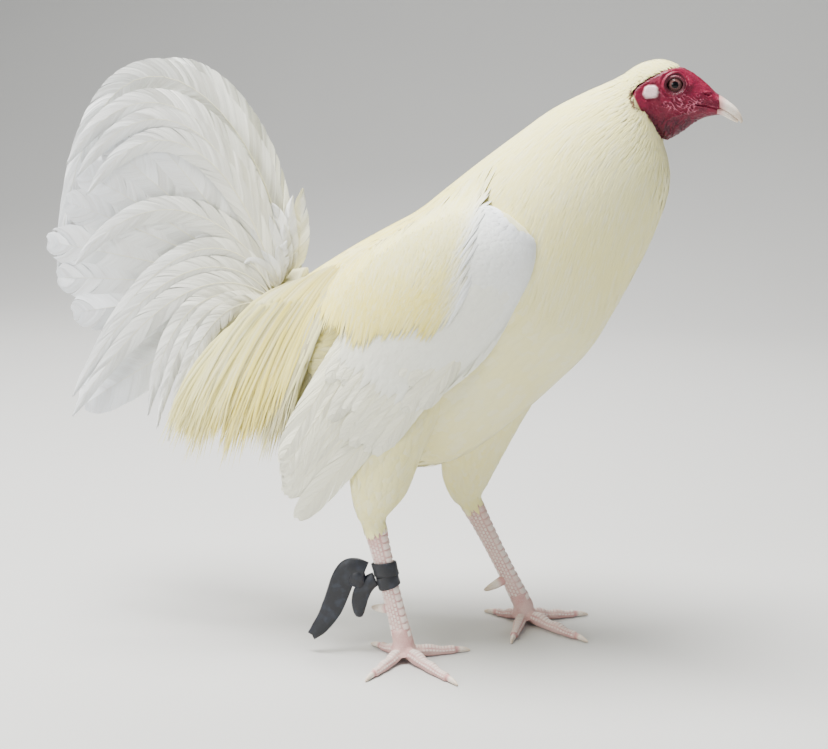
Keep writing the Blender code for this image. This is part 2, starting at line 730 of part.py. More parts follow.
def build_wing(name, side):
    core = loft(f"wing_{name}", wing_arm_rings(side))
    vanes = []
    for label, (lowest, highest, count, width, tier, form) in WING_TIERS.items():
        for i in range(count):
            root, tip = mix(lowest, highest, i / (count - 1))
            bow = FLIGHT_BOW if label == "flight" else FLIGHT_BOW / 2
            controls = [wing_point(*root)]
            for share in (0.35, 0.7):
                along, across = mix(root, tip, share)
                controls.append(wing_point(along, across + bow * (share - 0.2)))
            controls.append(wing_point(*tip))
            lift = wing_layer(root[1]) + tier
            vanes.append(
                side_vane(
                    f"{label}_{name}_{i}", controls, width, form, wing_sheet, lift, side,
                    root_out=wing_sheet(*controls[0]) + lift - WING_ROOT,
                )
            )
    cutters = [
        loft("neck_clear", trunk_rings(np.linspace(3.0, NECK_END + 0.1, 6), grow=4.5)),
        loft("trunk_clear", trunk_rings(BODY_STATIONS, grow=GAP), domed=(0, RUMP_DOME)),
        loft("saddle_clear", trunk_rings(np.linspace(TORSO_END - 0.3, RUMP_END, 12), grow=saddle_grow(24))),
        loft("thigh_clear", thigh_rings(name, side, grow=GAP + 0.1)),
    ]
    return fused(core, vanes, cutters)


def thigh_rings(name, side, grow=0.0):
    """The thigh down to the hock, where it ends square to the shank."""
    hock, _ = shank_line(name, side)
    _, front, _ = shank_frame(name, side)
    ahead, behind = hock + front * SHANK_RADII[0], hock - front * SHANK_RADII[0]
    end = (ahead[0], ahead[2], behind[0], behind[2], SHANK_RADII[0] * SHANK_NARROW, abs(hock[1]))
    rows = (*THIGHS[name], end)
    return sections(rows, np.linspace(0, len(rows) - 1, 10), 16, grow=grow, side=side)


def build_thigh(name, side):
    core = loft(f"thigh_{name}", thigh_rings(name, side))
    clear = loft("trunk_clear", trunk_rings(BODY_STATIONS, grow=GAP), domed=(0, RUMP_DOME + GAP))
    return fused(core, [], [clear])


def shank_line(name, side):
    hock_x, hock_z, hock_y = HOCK[name]
    ankle_x, ankle_z, ankle_y = ANKLE[name]
    return np.array((hock_x, side * hock_y, hock_z)), np.array((ankle_x, side * ankle_y, ankle_z))


def shank_frame(name, side):
    """The shank's own axes: down it, to its front, and beside it."""
    hock, ankle = shank_line(name, side)
    down = (ankle - hock) / np.linalg.norm(ankle - hock)
    front = np.cross(np.array((0.0, 1.0, 0.0)), down)
    front /= -np.linalg.norm(front)
    if front[0] < 0:
        front = -front
    return down, front, np.cross(down, front)


def shank_radius(share):
    return spline([(r,) for r in SHANK_RADII], share * (len(SHANK_RADII) - 1))[0][0]


def shank_ring(name, side, share, around=10, grow=0.0, ridge=0.0):
    hock, ankle = shank_line(name, side)
    down, front, beside = shank_frame(name, side)
    centre = hock + (ankle - hock) * share
    ring = []
    for angle in ring_angles(around):
        radius = shank_radius(share) + grow + ridge * max(0.0, math.cos(angle))
        ring.append(centre + radius * (math.cos(angle) * front + SHANK_NARROW * math.sin(angle) * beside))
    return np.array(ring)


def build_shank(name, side):
    rings = [shank_ring(name, side, 0.008)]
    for i in range(SCUTES):
        top, bottom = 0.05 + 0.9 * i / SCUTES, 0.05 + 0.9 * (i + 0.8) / SCUTES
        rings.append(shank_ring(name, side, top, ridge=0.0))
        rings.append(shank_ring(name, side, bottom, ridge=SCUTE_RISE))
    rings.append(shank_ring(name, side, 0.985))
    return loft(f"shank_{name}", rings)


def spur_root(name, side):
    hock, ankle = shank_line(name, side)
    down, front, beside = shank_frame(name, side)
    inner = np.array((0.0, -side, 0.0))
    way = -0.86 * front + 0.42 * inner + 0.1 * down
    way /= np.linalg.norm(way)
    centre = hock + (ankle - hock) * SPUR_AT
    return centre, way


def build_spur(name, side):
    centre, way = spur_root(name, side)
    shares = np.linspace(0, 1, 6)
    start = shank_radius(SPUR_AT) * 0.5
    path = [centre + way * (start + SPUR_LENGTH * t) + np.array((0, 0, 3.0 * t * t)) for t in shares]
    radii = SPUR_RADIUS * np.array([1.0, 0.95, 0.84, 0.66, 0.42, 0.14])
    spur = tapered_tube(f"spur_{name}", path, radii)
    shares = (0.4, 0.6, 0.8, 0.95)
    clear = loft("shank_clear", [shank_ring(name, side, s, grow=GAP + SCUTE_RISE) for s in shares])
    return fused(spur, [], [clear])


def toe_path(name, side, toe):
    """A toe on the floor from the middle of the foot, with its joints and its radius along it."""
    turn, length, radius = TOES[name][toe]
    _, ankle = shank_line(name, side)
    turn = math.radians(turn)
    ahead = np.array((math.cos(turn), math.sin(turn), 0.0))
    shares = np.linspace(0, 1, 9)
    bulge = 1 + TOE_JOINT * np.cos(shares * 2 * math.pi * 3)
    radii = (TOE_TIP_RADIUS + (radius - TOE_TIP_RADIUS) * (1 - shares) ** 0.8) * bulge
    start = np.array((ankle[0], ankle[1], 0.0))
    height = 0.78 * radii + TOE_ARCH * (1 - shares) ** 3
    path = start + np.outer(shares * length, ahead) + np.outer(height, (0, 0, 1))
    return path, radii, ahead


def build_foot(name, side):
    hock, ankle = shank_line(name, side)
    top = hock + (ankle - hock) * 0.988
    pad = np.array((ankle[0], ankle[1], 0.0))
    shares = np.linspace(0, 1, 5)
    path = [top * (1 - t) + (pad - np.array((0, 0, SOLE_SUNK))) * t for t in shares]
    radii = (8.4, 8.6, 9.4, PAD_RADIUS, PAD_RADIUS)
    core = tapered_tube(f"foot_{name}", path, radii, around=12, flat_floor=True)
    toes = []
    for toe in TOES[name]:
        toe_points, radii, _ = toe_path(name, side, toe)
        toes.append(tapered_tube(f"{toe}_{name}", toe_points, radii, around=8, flat_floor=True))
    clear = loft("shank_clear", [shank_ring(name, side, s, grow=1.5) for s in (0.8, 0.988)])
    return fused(core, toes, [clear])


def build_claw(name, side, toe):
    toe_points, radii, ahead = toe_path(name, side, toe)
    start = toe_points[-1] + ahead * GAP
    shares = np.linspace(0, 1, 5)
    radii = CLAW_RADIUS * np.array([1.0, 0.86, 0.66, 0.4, 0.12])
    droop = CLAW_DROOP * (2 * shares * (1 - shares) - shares)
    path = start + np.outer(CLAW_LENGTH * shares, ahead) + np.outer(droop, (0, 0, 1))
    return tapered_tube(f"claw_{name}_{toe[-1]}", path, radii, around=6, flat_floor=True)


def lid_ring(side):
    """The raised rim of the eyelids, a ring that lies on the side of the head."""
    return primitive(
        "lids", bpy.ops.mesh.primitive_torus_add, major_radius=LID_RADIUS, minor_radius=LID_TUBE,
        major_segments=16, minor_segments=6, location=(EYE[0], side * LID_SIDE, EYE[1]),
        rotation=(math.pi / 2, 0, 0),
    )


def mouth_cutter(side):
    """A thin wedge that opens the line of the mouth on one cheek."""
    rings = []
    for x, z in MOUTH:
        half = np.interp(x, [row[0] for row in HEAD], [row[4] for row in HEAD])
        inner, outer = side * (half - MOUTH_DEPTH - 0.8), side * (half + 4)
        rings.append([(x, inner, z), (x, outer, z - 0.9), (x, outer, z + 0.9)])
    return loft("mouth_cutter", rings)


def build_head():
    core = loft("head", sections(HEAD, np.linspace(0, len(HEAD) - 1, 13), 20, swell=HEAD_SWELL))
    pieces = [loft("comb", sections(COMB, np.linspace(0, 3, 7), 10), domed=(1, 1))]
    cutters = []
    for _, side in SIDES:
        pieces.append(lid_ring(side))
        lobe, eye, nostril = (
            (x, side * out, z)
            for (x, z), out in ((EARLOBE, EARLOBE_SIDE), (EYE, EYE_SIDE), (NOSTRIL, NOSTRIL_SIDE))
        )
        pieces.append(ellipsoid("earlobe", lobe, EARLOBE_SIZE, 10, 6))
        cutters.append(ellipsoid("socket", eye, [EYE_RADIUS + GAP] * 3, 12, 8))
        cutters.append(ellipsoid("nostril", nostril, NOSTRIL_SIZE, 8, 6))
        cutters.append(mouth_cutter(side))
    return fused(core, pieces, cutters)


def build_eye(name, side):
    return ellipsoid(f"eye_{name}", (EYE[0], side * EYE_SIDE, EYE[1]), [EYE_RADIUS] * 3, 12, 8)


def build_bill():
    upper = sections(BILL_UPPER, np.linspace(0, len(BILL_UPPER) - 1, 8), 12)
    lower = sections(BILL_LOWER, np.linspace(0, len(BILL_LOWER) - 1, 6), 12)
    return [loft("bill_upper", upper, domed=(0, 0.5)), loft("bill_lower", lower, domed=(0, 0.5))]


def build_strap():
    """The leg strap on the right shank: a band, its folded loop and its pointed end."""
    name, side = "right", -1
    middle = SCUTE_RISE + GAP + STRAP_EASE + STRAP_THICKNESS / 2
    rings = [shank_ring(name, side, s, around=STRAP_SEGMENTS, grow=middle) for s in (STRAP_TOP, STRAP_BOTTOM)]
    order = [(j, (j + 1) % STRAP_SEGMENTS) for j in range(STRAP_SEGMENTS)]
    faces = [(j, k, k + STRAP_SEGMENTS, j + STRAP_SEGMENTS) for j, k in order]
    band = new_object("strap_band", np.concatenate(rings), faces)
    wall = band.modifiers.new("wall", "SOLIDIFY")
    wall.thickness = STRAP_THICKNESS * MM
    wall.offset = 0.0
    applied(band)
    knot = ellipsoid(
        "strap_tail", (STRAP_KNOT[0], side * STRAP_SIDE, STRAP_KNOT[1]), STRAP_KNOT_SIZE, segments=12, rings=8
    )
    ends = [
        side_vane(label, controls, width, STRAP_VANE, lambda x, z: STRAP_SIDE, lift, side, STRAP_THICKNESS)
        for label, (*controls, width), lift in (("fold", STRAP_FOLD, 1.2), ("lobe", STRAP_LOBE, -1.6))
    ]
    spread = (STRAP_BOTTOM - STRAP_TOP) * 0.3
    outside = middle + STRAP_THICKNESS / 2 + GAP
    wider = (STRAP_TOP - spread, STRAP_BOTTOM + spread)
    rings = [shank_ring(name, side, s, around=STRAP_SEGMENTS, grow=outside) for s in wider]
    return [band, fused(knot, ends, [loft("band_clear", rings)])]


def material(name, colour, roughness, metallic=0.0):
    found = bpy.data.materials.get(name) or bpy.data.materials.new(name)
    found.use_nodes = True
    shader = found.node_tree.nodes["Principled BSDF"]
    shader.inputs["Base Color"].default_value = (*colour, 1.0)
    shader.inputs["Roughness"].default_value = roughness
    shader.inputs["Metallic"].default_value = metallic
    return found


def finish(objects, finish_name, colour, roughness):
    for obj in objects:
        obj.data.materials.clear()
        obj.data.materials.append(material(finish_name, colour, roughness))
        obj.data.shade_smooth()
        obj.data.set_sharp_from_angle(angle=math.radians(35))


def main():
    plumage = [build_neck(), build_torso(), build_rump()]
    plumage += [build_thigh(name, side) for name, side in SIDES]
    quills = [build_tail()] + [build_wing(name, side) for name, side in SIDES]
    horn = build_bill()
    scaled = []
    for name, side in SIDES:
        scaled += [build_shank(name, side), build_foot(name, side)]
        horn += [build_claw(name, side, toe) for toe in TOES[name]]
        horn.append(build_spur(name, side))
    finish(plumage, "cream_plumage", (0.86, 0.80, 0.58), 0.75)
    finish(quills, "white_quills", (0.90, 0.89, 0.86), 0.65)
    finish([build_head()], "red_face", (0.42, 0.03, 0.05), 0.55)
    finish([build_eye(name, side) for name, side in SIDES], "eye", (0.10, 0.04, 0.02), 0.1)
    finish(horn, "horn", (0.80, 0.72, 0.62), 0.4)
    finish(scaled, "leg_scale", (0.80, 0.56, 0.52), 0.5)
    finish(build_strap(), "black_strap", (0.02, 0.02, 0.03), 0.5)


for old in list(bpy.data.objects):
    bpy.data.objects.remove(old)
MODEL = bpy.data.collections.new("game_cock")
bpy.context.scene.collection.children.link(MODEL)
main()
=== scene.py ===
"""The looks of an Old English game cock: skin, plumage, face, legs and strap over its frame.

Lengths are millimetres in the bird's own frame: +X the way it faces, +Y its left, +Z up, the
middle plane at y = 0 and the soles at z = 0. A mesh is moved into the frame and scaled to
metres when it is made.
"""

import math

import bpy
import numpy as np
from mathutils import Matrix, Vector


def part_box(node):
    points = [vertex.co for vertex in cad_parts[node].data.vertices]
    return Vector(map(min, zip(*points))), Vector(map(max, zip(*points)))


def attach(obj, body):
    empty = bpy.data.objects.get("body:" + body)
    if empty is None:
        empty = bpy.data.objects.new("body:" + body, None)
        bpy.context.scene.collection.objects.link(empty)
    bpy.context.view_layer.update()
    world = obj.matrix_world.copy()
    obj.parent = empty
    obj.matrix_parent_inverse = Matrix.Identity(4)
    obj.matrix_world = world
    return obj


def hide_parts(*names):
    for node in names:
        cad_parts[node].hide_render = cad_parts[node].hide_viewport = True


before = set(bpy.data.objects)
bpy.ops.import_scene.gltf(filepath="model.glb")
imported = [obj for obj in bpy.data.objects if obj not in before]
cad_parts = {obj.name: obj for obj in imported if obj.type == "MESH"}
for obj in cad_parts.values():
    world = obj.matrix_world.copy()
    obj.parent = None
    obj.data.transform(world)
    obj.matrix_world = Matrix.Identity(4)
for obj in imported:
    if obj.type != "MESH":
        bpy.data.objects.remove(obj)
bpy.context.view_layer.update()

MM = 0.001
SIDES = (("right", -1), ("left", 1))

# The head and trunk from the bill to the vent: top x and z, bottom x and z, half width.
BODY = np.array((
    (266.0, 453.8, 267.0, 438.8, 7.8), (261.0, 457.3, 262.0, 438, 9.6), (253.0, 463.5, 254.0, 435.8, 12.5),
    (243.0, 471, 245.5, 430.5, 16.0), (234.0, 476, 238.0, 424.5, 18.5), (224.0, 479.5, 232.0, 421, 19.5),
    (214.0, 479, 229.0, 419.5, 20.0), (203, 475, 225, 417, 20), (188, 465, 229, 404, 27),
    (164, 454, 231, 388, 36), (139, 441, 228, 370, 44), (114, 423, 217, 339, 53),
    (82, 399, 204, 311, 60), (58, 380, 189, 282, 64), (34, 361, 172, 253, 66),
    (9, 347, 148, 227, 65), (-16, 333, 110, 191, 60), (-37, 320, 66, 158, 53),
    (-57, 307, 20, 150, 44), (-74, 295, -28, 166, 34), (-84, 276, -62, 208, 20),
), float)
VENT = 20  # the last station, counted in rows of BODY
HEAD_SWELL, TRUNK_SWELL = 0.22, 0.08  # how much wider a section is above its middle
COAT_DEPTH = 4.5

EYE = np.array((233.5, 461.5))
EYE_RADIUS, EYE_SIDE = 6.6, 12.2
IRIS_RADIUS = 5.5

# The edge of the feathers round the bare face, from the throat to the crown, and on round the bill.
FACE_EDGE = np.array((
    (229, 412), (226, 418), (223, 423), (218, 433), (213, 442), (207, 443), (203, 447), (201, 453), (202, 459),
    (208, 464), (219, 470), (229, 473.5), (238, 475.5), (244, 480), (300, 480), (300, 400), (236, 400),
), float)
for _ in range(2):  # its corners are cut twice
    after = np.roll(FACE_EDGE, -1, axis=0)
    FACE_EDGE = np.stack([FACE_EDGE * 0.75 + after * 0.25, FACE_EDGE * 0.25 + after * 0.75], axis=1).reshape(-1, 2)

random = np.random.default_rng(11)

# How far the bird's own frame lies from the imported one, read from the eyes' boxes.
EYE_CORNERS = np.array([corner for name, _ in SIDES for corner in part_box(f"eye_{name}")]) / MM
SHIFT = EYE_CORNERS.mean(0) - (EYE[0], 0.0, EYE[1])


def spline(rows, at):
    """Values between the rows on a Catmull-Rom curve, where at counts rows from 0."""
    rows = np.asarray(rows, float)
    at = np.clip(np.atleast_1d(np.asarray(at, float)), 0, len(rows) - 1)
    start = np.minimum(at.astype(int), len(rows) - 2)
    t = (at - start)[:, None]
    before, here, after, beyond = (rows[np.clip(start + k, 0, len(rows) - 1)] for k in (-1, 0, 1, 2))
    square = 2 * before - 5 * here + 4 * after - beyond
    cube = 3 * here - before - 3 * after + beyond
    return 0.5 * (2 * here + (after - before) * t + square * t**2 + cube * t**3)


def bezier(points, t):
    """Points on a cubic Bezier curve. The four points may be arrays of many curves' points."""
    a, b, c, d = (np.asarray(p, float) for p in points)
    t = np.asarray(t, float)[..., None]
    return a * (1 - t) ** 3 + 3 * b * t * (1 - t) ** 2 + 3 * c * t**2 * (1 - t) + d * t**3


def mix(a, b, share):
    return a + (b - a) * share


def smoothstep(low, high, value):
    t = np.clip((np.asarray(value, float) - low) / (high - low), 0, 1)
    return t * t * (3 - 2 * t)


def bump(value, middle, spread):
    """A bell of height 1 round the middle."""
    return np.exp(-(((value - middle) / spread) ** 2))


def unit(vectors):
    return vectors / (np.linalg.norm(vectors, axis=-1, keepdims=True) + 1e-12)


def together(*numbers):
    """Numbers side by side, each spread over the same places."""
    return np.stack(np.broadcast_arrays(*numbers), -1)


def ring_angles(count):
    return np.linspace(0, 2 * math.pi, count, endpoint=False)


def strewn(count, start=0):
    """Pairs of numbers from 0 to 1 that fill a square evenly."""
    order = start + np.arange(count)
    return (0.5 + order * 0.7548776662466927) % 1, (0.5 + order * 0.5698402909980532) % 1


def between_cells(grid, i, j):
    """What a grid holds between its rows and columns."""
    a, b = np.minimum(i.astype(int), grid.shape[0] - 2), np.minimum(j.astype(int), grid.shape[1] - 2)
    s, t = i - a, j - b
    if grid.ndim == 3:
        s, t = s[..., None], t[..., None]
    return mix(mix(grid[a, b], grid[a, b + 1], t), mix(grid[a + 1, b], grid[a + 1, b + 1], t), s)


def lattice(cells, seed):
    """A number from 0 to 1 for each cell of whole numbers, always the same one."""
    total = np.zeros(cells.shape[:-1]) + seed * 17.13
    for axis, step in enumerate((127.1, 311.7, 74.7)[: cells.shape[-1]]):
        total = total + cells[..., axis] * step
    return np.modf(np.abs(np.sin(total) * 43758.5453))[0]


def noise(points, size, seed=0):
    """Smooth noise from 0 to 1 over points in two or three dimensions, in lumps of that size."""
    places = np.asarray(points, float) / size
    cell = np.floor(places)
    t = places - cell
    t = t * t * (3 - 2 * t)
    total = 0.0
    count = places.shape[-1]
    for corner in range(2**count):
        step = np.array([(corner >> axis) & 1 for axis in range(count)])
        weight = np.prod(np.where(step, t, 1 - t), axis=-1)
        total = total + weight * lattice(cell + step, seed)
    return total


def mesh_object(name, points, faces, finish, plume=None, patch=None, detail=None, normals=None, under=None):
    """An object from points in the bird's frame and an array of faces with alike corners.

    Plume and detail are four numbers a point for the finish to read, and patch its place on the bake map.
    Under marks the faces whose shading turns away from the points' normals.
    """
    faces = np.asarray(faces, np.int32)
    mesh = bpy.data.meshes.new(name)
    mesh.vertices.add(len(points))
    mesh.vertices.foreach_set("co", ((np.asarray(points) + SHIFT) * MM).astype(np.float32).ravel())
    mesh.loops.add(faces.size)
    mesh.loops.foreach_set("vertex_index", faces.ravel())
    mesh.polygons.add(len(faces))
    mesh.polygons.foreach_set("loop_start", np.arange(0, faces.size, faces.shape[1], dtype=np.int32))
    mesh.update(calc_edges=True)
    mesh.polygons.foreach_set("use_smooth", np.full(len(faces), True))
    for key, table in (("plume", plume), ("detail", detail)):
        if table is not None:
            colours = mesh.attributes.new(key, "FLOAT_COLOR", "POINT")
            colours.data.foreach_set("color", np.asarray(table, np.float32).ravel())
    if patch is not None:
        layer = mesh.uv_layers.new(name="OFBake")
        layer.data.foreach_set("uv", np.asarray(patch, np.float32)[faces.ravel()].ravel())
    if normals is not None:
        corners = unit(normals)[faces.ravel()]
        if under is not None:
            corners[np.repeat(under, faces.shape[1])] *= -1
        mesh.normals_split_custom_set(corners.tolist())
    obj = bpy.data.objects.new(name, mesh)
    bpy.context.scene.collection.objects.link(obj)
    if finish is not None:
        mesh.materials.append(finish)
    return obj


def outward(points, faces):
    """The faces of a closed mesh, turned so that they face out."""
    corners = points[faces] - points.mean(0)
    volume = np.einsum("ij,ij->i", corners[:, 0], np.cross(corners[:, 1], corners[:, 2])).sum()
    return faces[:, ::-1] if volume < 0 else faces


def band_faces(index):
    """Triangles between the rows of an index grid whose rows are closed rings."""
    after = np.roll(index, -1, axis=1)
    a, b, c, d = index[:-1], after[:-1], after[1:], index[1:]
    return np.concatenate([np.stack([a, b, c], -1).reshape(-1, 3), np.stack([a, c, d], -1).reshape(-1, 3)])


def wrapped_faces(rows, columns):
    """Quads of a grid of points that is closed both ways."""
    index = np.arange(rows * columns).reshape(rows, columns)
    after = np.roll(index, -1, axis=0)
    return np.stack([index, after, np.roll(after, -1, axis=1), np.roll(index, -1, axis=1)], -1).reshape(-1, 4)


def dressed(obj, slot, *nodes):
    """Rides the piece on the bird and hides the solids it stands for."""
    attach(obj, "root")
    if nodes:
        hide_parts(*nodes)
    return obj


def prisms(sections, pointed=True):
    """Thin closed strips: sections is steps x strips x 3 corners x place and normal, each a flat triangle.

    Returns points, triangles, each point's step and strip, and which triangles lie underneath.
    """
    steps, count = sections.shape[:2]
    first, ahead = sections[0, ..., :3], (sections[1] - sections[0])[..., :3].mean(1)
    turned = np.einsum("ij,ij->i", np.cross(first[:, 1] - first[:, 0], first[:, 2] - first[:, 0]), ahead) > 0
    sections = sections.copy()
    sections[:, turned] = sections[:, turned][:, :, [1, 0, 2]]
    rings = steps - 1 if pointed else steps
    index = np.arange(rings * count * 3).reshape(rings, count, 3)
    points = sections[:rings].reshape(-1, sections.shape[-1])
    step_of = np.repeat(np.arange(rings), count * 3)
    strip_of = np.tile(np.repeat(np.arange(count), 3), rings)
    triangles, beneath = [index[0][:, [0, 1, 2]]], [False]
    for j in range(3):
        beneath += [j == 0, j == 0]
        k = (j + 1) % 3
        a, b, c, d = index[:-1, :, j], index[:-1, :, k], index[1:, :, k], index[1:, :, j]
        triangles.append(np.stack([a, c, b], -1).reshape(-1, 3))
        triangles.append(np.stack([a, d, c], -1).reshape(-1, 3))
    if pointed:
        tips = len(points) + np.arange(count)
        points = np.concatenate([points, sections[-1].mean(1)])
        step_of = np.concatenate([step_of, np.full(count, steps - 1)])
        strip_of = np.concatenate([strip_of, np.arange(count)])
        triangles += [np.stack([index[-1, :, j], tips, index[-1, :, (j + 1) % 3]], -1) for j in range(3)]
        beneath += [True, False, False]
    else:
        triangles.append(index[-1][:, [2, 1, 0]])
        beneath.append(False)
    under = np.repeat(beneath, [len(group) for group in triangles])
    return points, np.concatenate(triangles), step_of, strip_of, under


class Sheet:
    """A surface through a grid of points, read at any place u and v from 0 to 1."""

    def __init__(self, points, closed=True, outwards=1):
        self.closed = closed
        if closed:
            padded = np.concatenate([points[:, -1:], points, points[:, :2]], axis=1)
            across = np.gradient(padded, axis=1)[:, 1:-1]
            points = np.concatenate([points, points[:, :1]], axis=1)
        else:
            across = np.gradient(points, axis=1)
        along = np.gradient(points, axis=0)
        self.points = points
        self.rate_u = np.linalg.norm(along, axis=2) * (points.shape[0] - 1) + 1e-6
        self.rate_v = np.linalg.norm(across, axis=2) * (points.shape[1] - 1) + 1e-6
        self.normals = unit(np.cross(across, along)) * outwards
        self.area = self.rate_u * self.rate_v

    def read(self, grid, u, v):
        v = np.mod(v, 1.0) if self.closed else np.clip(v, 0, 1)
        return between_cells(grid, np.clip(u, 0, 1) * (grid.shape[0] - 1), v * (grid.shape[1] - 1))

    def places(self, count, density, start):
        """Evenly strewn roots, closer where the density over the grid is higher."""
        weight = self.area * density
        a, b = strewn(count, start)
        rows = np.cumsum(weight.sum(1))
        row = np.interp(a * rows[-1], rows, np.arange(len(rows)))
        whole = np.clip(np.round(row).astype(int), 0, len(rows) - 1)
        cells = np.cumsum(weight, axis=1)
        cells /= cells[:, -1:] + 1e-12
        v = (cells[whole] < b[:, None]).sum(1) + random.random(count) - 0.5
        return np.clip(row / (len(rows) - 1), 0, 1), v / (weight.shape[1] - 1)

    def lay(self, u, v, length, heading, steps):
        """Paths over the surface from each root: steps x roots of points and of normals."""
        points, normals = [], []
        stride = length / (steps - 1)
        for _ in range(steps):
            points.append(self.read(self.points, u, v))
            normals.append(unit(self.read(self.normals, u, v)))
            u = u + stride * np.cos(heading) / self.read(self.rate_u, u, v)
            v = v + stride * np.sin(heading) / self.read(self.rate_v, u, v)
        return np.array(points), np.array(normals)


def strips(points, normals, width, form, lifts, ridge, twist=0.0, rounded=0.3):
    """Sections of strips laid along paths: flat below, with a low ridge along the middle.

    Rounded is how far a strip's shading turns to its sides from the surface that it lies on.
    """
    ahead = unit(np.gradient(points, axis=0))
    across = unit(np.cross(ahead, normals))
    half = (np.asarray(form)[:, None] * width / 2)[..., None]
    lift = np.broadcast_to(np.asarray(lifts, float).reshape(len(form), -1), points.shape[:2])[..., None]
    centre = points + normals * lift
    left = centre - across * half + normals * half * twist
    right = centre + across * half - normals * half * twist
    top = centre + normals * (ridge * (0.25 + 0.75 * np.asarray(form)[:, None, None]))
    lean = rounded * across
    places, facing = np.stack([left, right, top], axis=2), np.stack([normals - lean, normals + lean, normals], axis=2)
    return np.concatenate([places, facing], axis=3)


PATCH = 0.003  # how large one tuft is on the bake map


def coat(name, sections, finish, gold, cool, u, v):
    """One piece of plumage. Gold and cool are a number a tuft; u and v are its root's place."""
    points, triangles, step, strip, under = prisms(sections)
    tone = random.random(sections.shape[1])
    share = step / (sections.shape[0] - 1)
    plume = together(gold[strip], tone[strip], share, cool[strip])
    corner = np.arange(len(points)) % 3 == 1
    patch = together(np.clip(u, 0, 0.996)[strip] + PATCH * share, np.mod(v, 0.996)[strip] + PATCH * corner)
    return mesh_object(name, points[:, :3], triangles, finish, plume, patch, normals=points[:, 3:], under=under)


# The body as a surface

def loft(rows, stations, angles):
    """The sections' middles, half heights and further numbers, and the cosine and sine of the angles."""
    table = spline(rows, stations)[:, None]
    middle, up = (table[..., 0:2] + table[..., 2:4]) / 2, (table[..., 0:2] - table[..., 2:4]) / 2
    return middle, up, table[..., 4:], np.cos(angles)[None, :], np.sin(angles)[None, :]


def body_grid(stations, angles, grow=0.0):
    """Points over the head and trunk. Angle 0 is the back, pi the belly, positive to the left."""
    middle, up, half, c, s = loft(BODY, stations, angles)
    swell = np.interp(stations, (5, 9), (HEAD_SWELL, TRUNK_SWELL))[:, None]
    high = c * (1 + grow / np.linalg.norm(up, axis=2))
    spot = middle + up * high[..., None]
    return together(spot[..., 0], (half[..., 0] + grow) * s * (1 + swell * c), spot[..., 1])


MAP_X, MAP_Z, MAP_STEP = (-190, 292), (140, 492), 2.0


def side_map():
    """The trunk's half width over the middle plane, on a grid of x and z."""
    xs, zs = (np.arange(*ends, MAP_STEP) for ends in (MAP_X, MAP_Z))
    middle, up, half = (item[:, 0] for item in loft(BODY, np.linspace(0, len(BODY) - 1, 300), np.zeros(1))[:3])
    reach = np.linalg.norm(up, axis=1)
    places = np.stack(np.meshgrid(xs, zs, indexing="ij"), axis=2)[:, :, None]
    away = places - middle
    share = (away * up).sum(3) / reach**2
    off_line = np.abs(away[..., 0] * up[:, 1] - away[..., 1] * up[:, 0]) / reach
    best = np.argmin(off_line + 1000 * (np.abs(share) > 1), axis=2)
    q = np.clip(np.take_along_axis(share, best[..., None], 2)[..., 0], -1, 1)
    near = np.take_along_axis(off_line, best[..., None], 2)[..., 0] < 3
    return np.where(near, half[best, 0] * np.sqrt(1 - q * q) * (1 + TRUNK_SWELL * q), 0.0)


SIDE_MAP = side_map()


def trunk_side(x, z):
    """How far the trunk's skin is from the middle plane at x and z, or 0 outside its outline."""
    i = np.clip((x - MAP_X[0]) / MAP_STEP, 0, SIDE_MAP.shape[0] - 1.001)
    return between_cells(SIDE_MAP, i, np.clip((z - MAP_Z[0]) / MAP_STEP, 0, SIDE_MAP.shape[1] - 1.001))


def line_distance(x, z, line):
    place = np.stack([x, z], -1)[..., None, :]
    a, b = line[:-1], line[1:]
    way = b - a
    share = np.clip(((place - a) * way).sum(-1) / (way**2).sum(-1), 0, 1)
    return np.linalg.norm(place - (a + share[..., None] * way), axis=-1).min(-1)


def face_inside(points):
    """How far inside the bare face a point lies in the side view, in mm, or outside if negative."""
    edge = np.concatenate([FACE_EDGE, FACE_EDGE[:1]])
    (ax, az), (bx, bz) = edge[:-1].T, edge[1:].T
    x, z = points[..., 0:1], points[..., 2:3]
    at = ax + (z - az) * (bx - ax) / np.where(bz == az, 1e-9, bz - az)
    inside = (((az > z) != (bz > z)) & (x < at)).sum(-1) % 2 == 1
    return np.where(inside, 1, -1) * line_distance(x[..., 0], z[..., 0], edge)


# The face

MOUTH = np.array(((249.5, 446.4), (254, 446.0), (259, 444.8), (263, 443.6), (268, 442.2)))
LOBE, LOBE_SIZE = (215.9, 456.1), (5.6, 5.2)
NOSTRIL = np.array((257.3, 454.2))
THROAT_FOLD = np.array(((250.0, 444.2), (240, 440.5), (230, 437)))


def seams(x, z, degrees, long, short, seed):
    """A net of creases in the side view, highest on them, drawn out by degrees from the level."""
    c, s = math.cos(math.radians(degrees)), math.sin(math.radians(degrees))
    return 1 - np.abs(2 * noise(together((x * c + z * s) / long, (z * c - x * s) / short), 1.0, seed) - 1)


def ellipse(x, z, middle, size, slope=0.0):
    """How far out of an ellipse's middle a place is, 1 on its edge."""
    return np.hypot((x - middle[0]) / size[0], (z - middle[1] + slope * (x - middle[0])) / size[1])


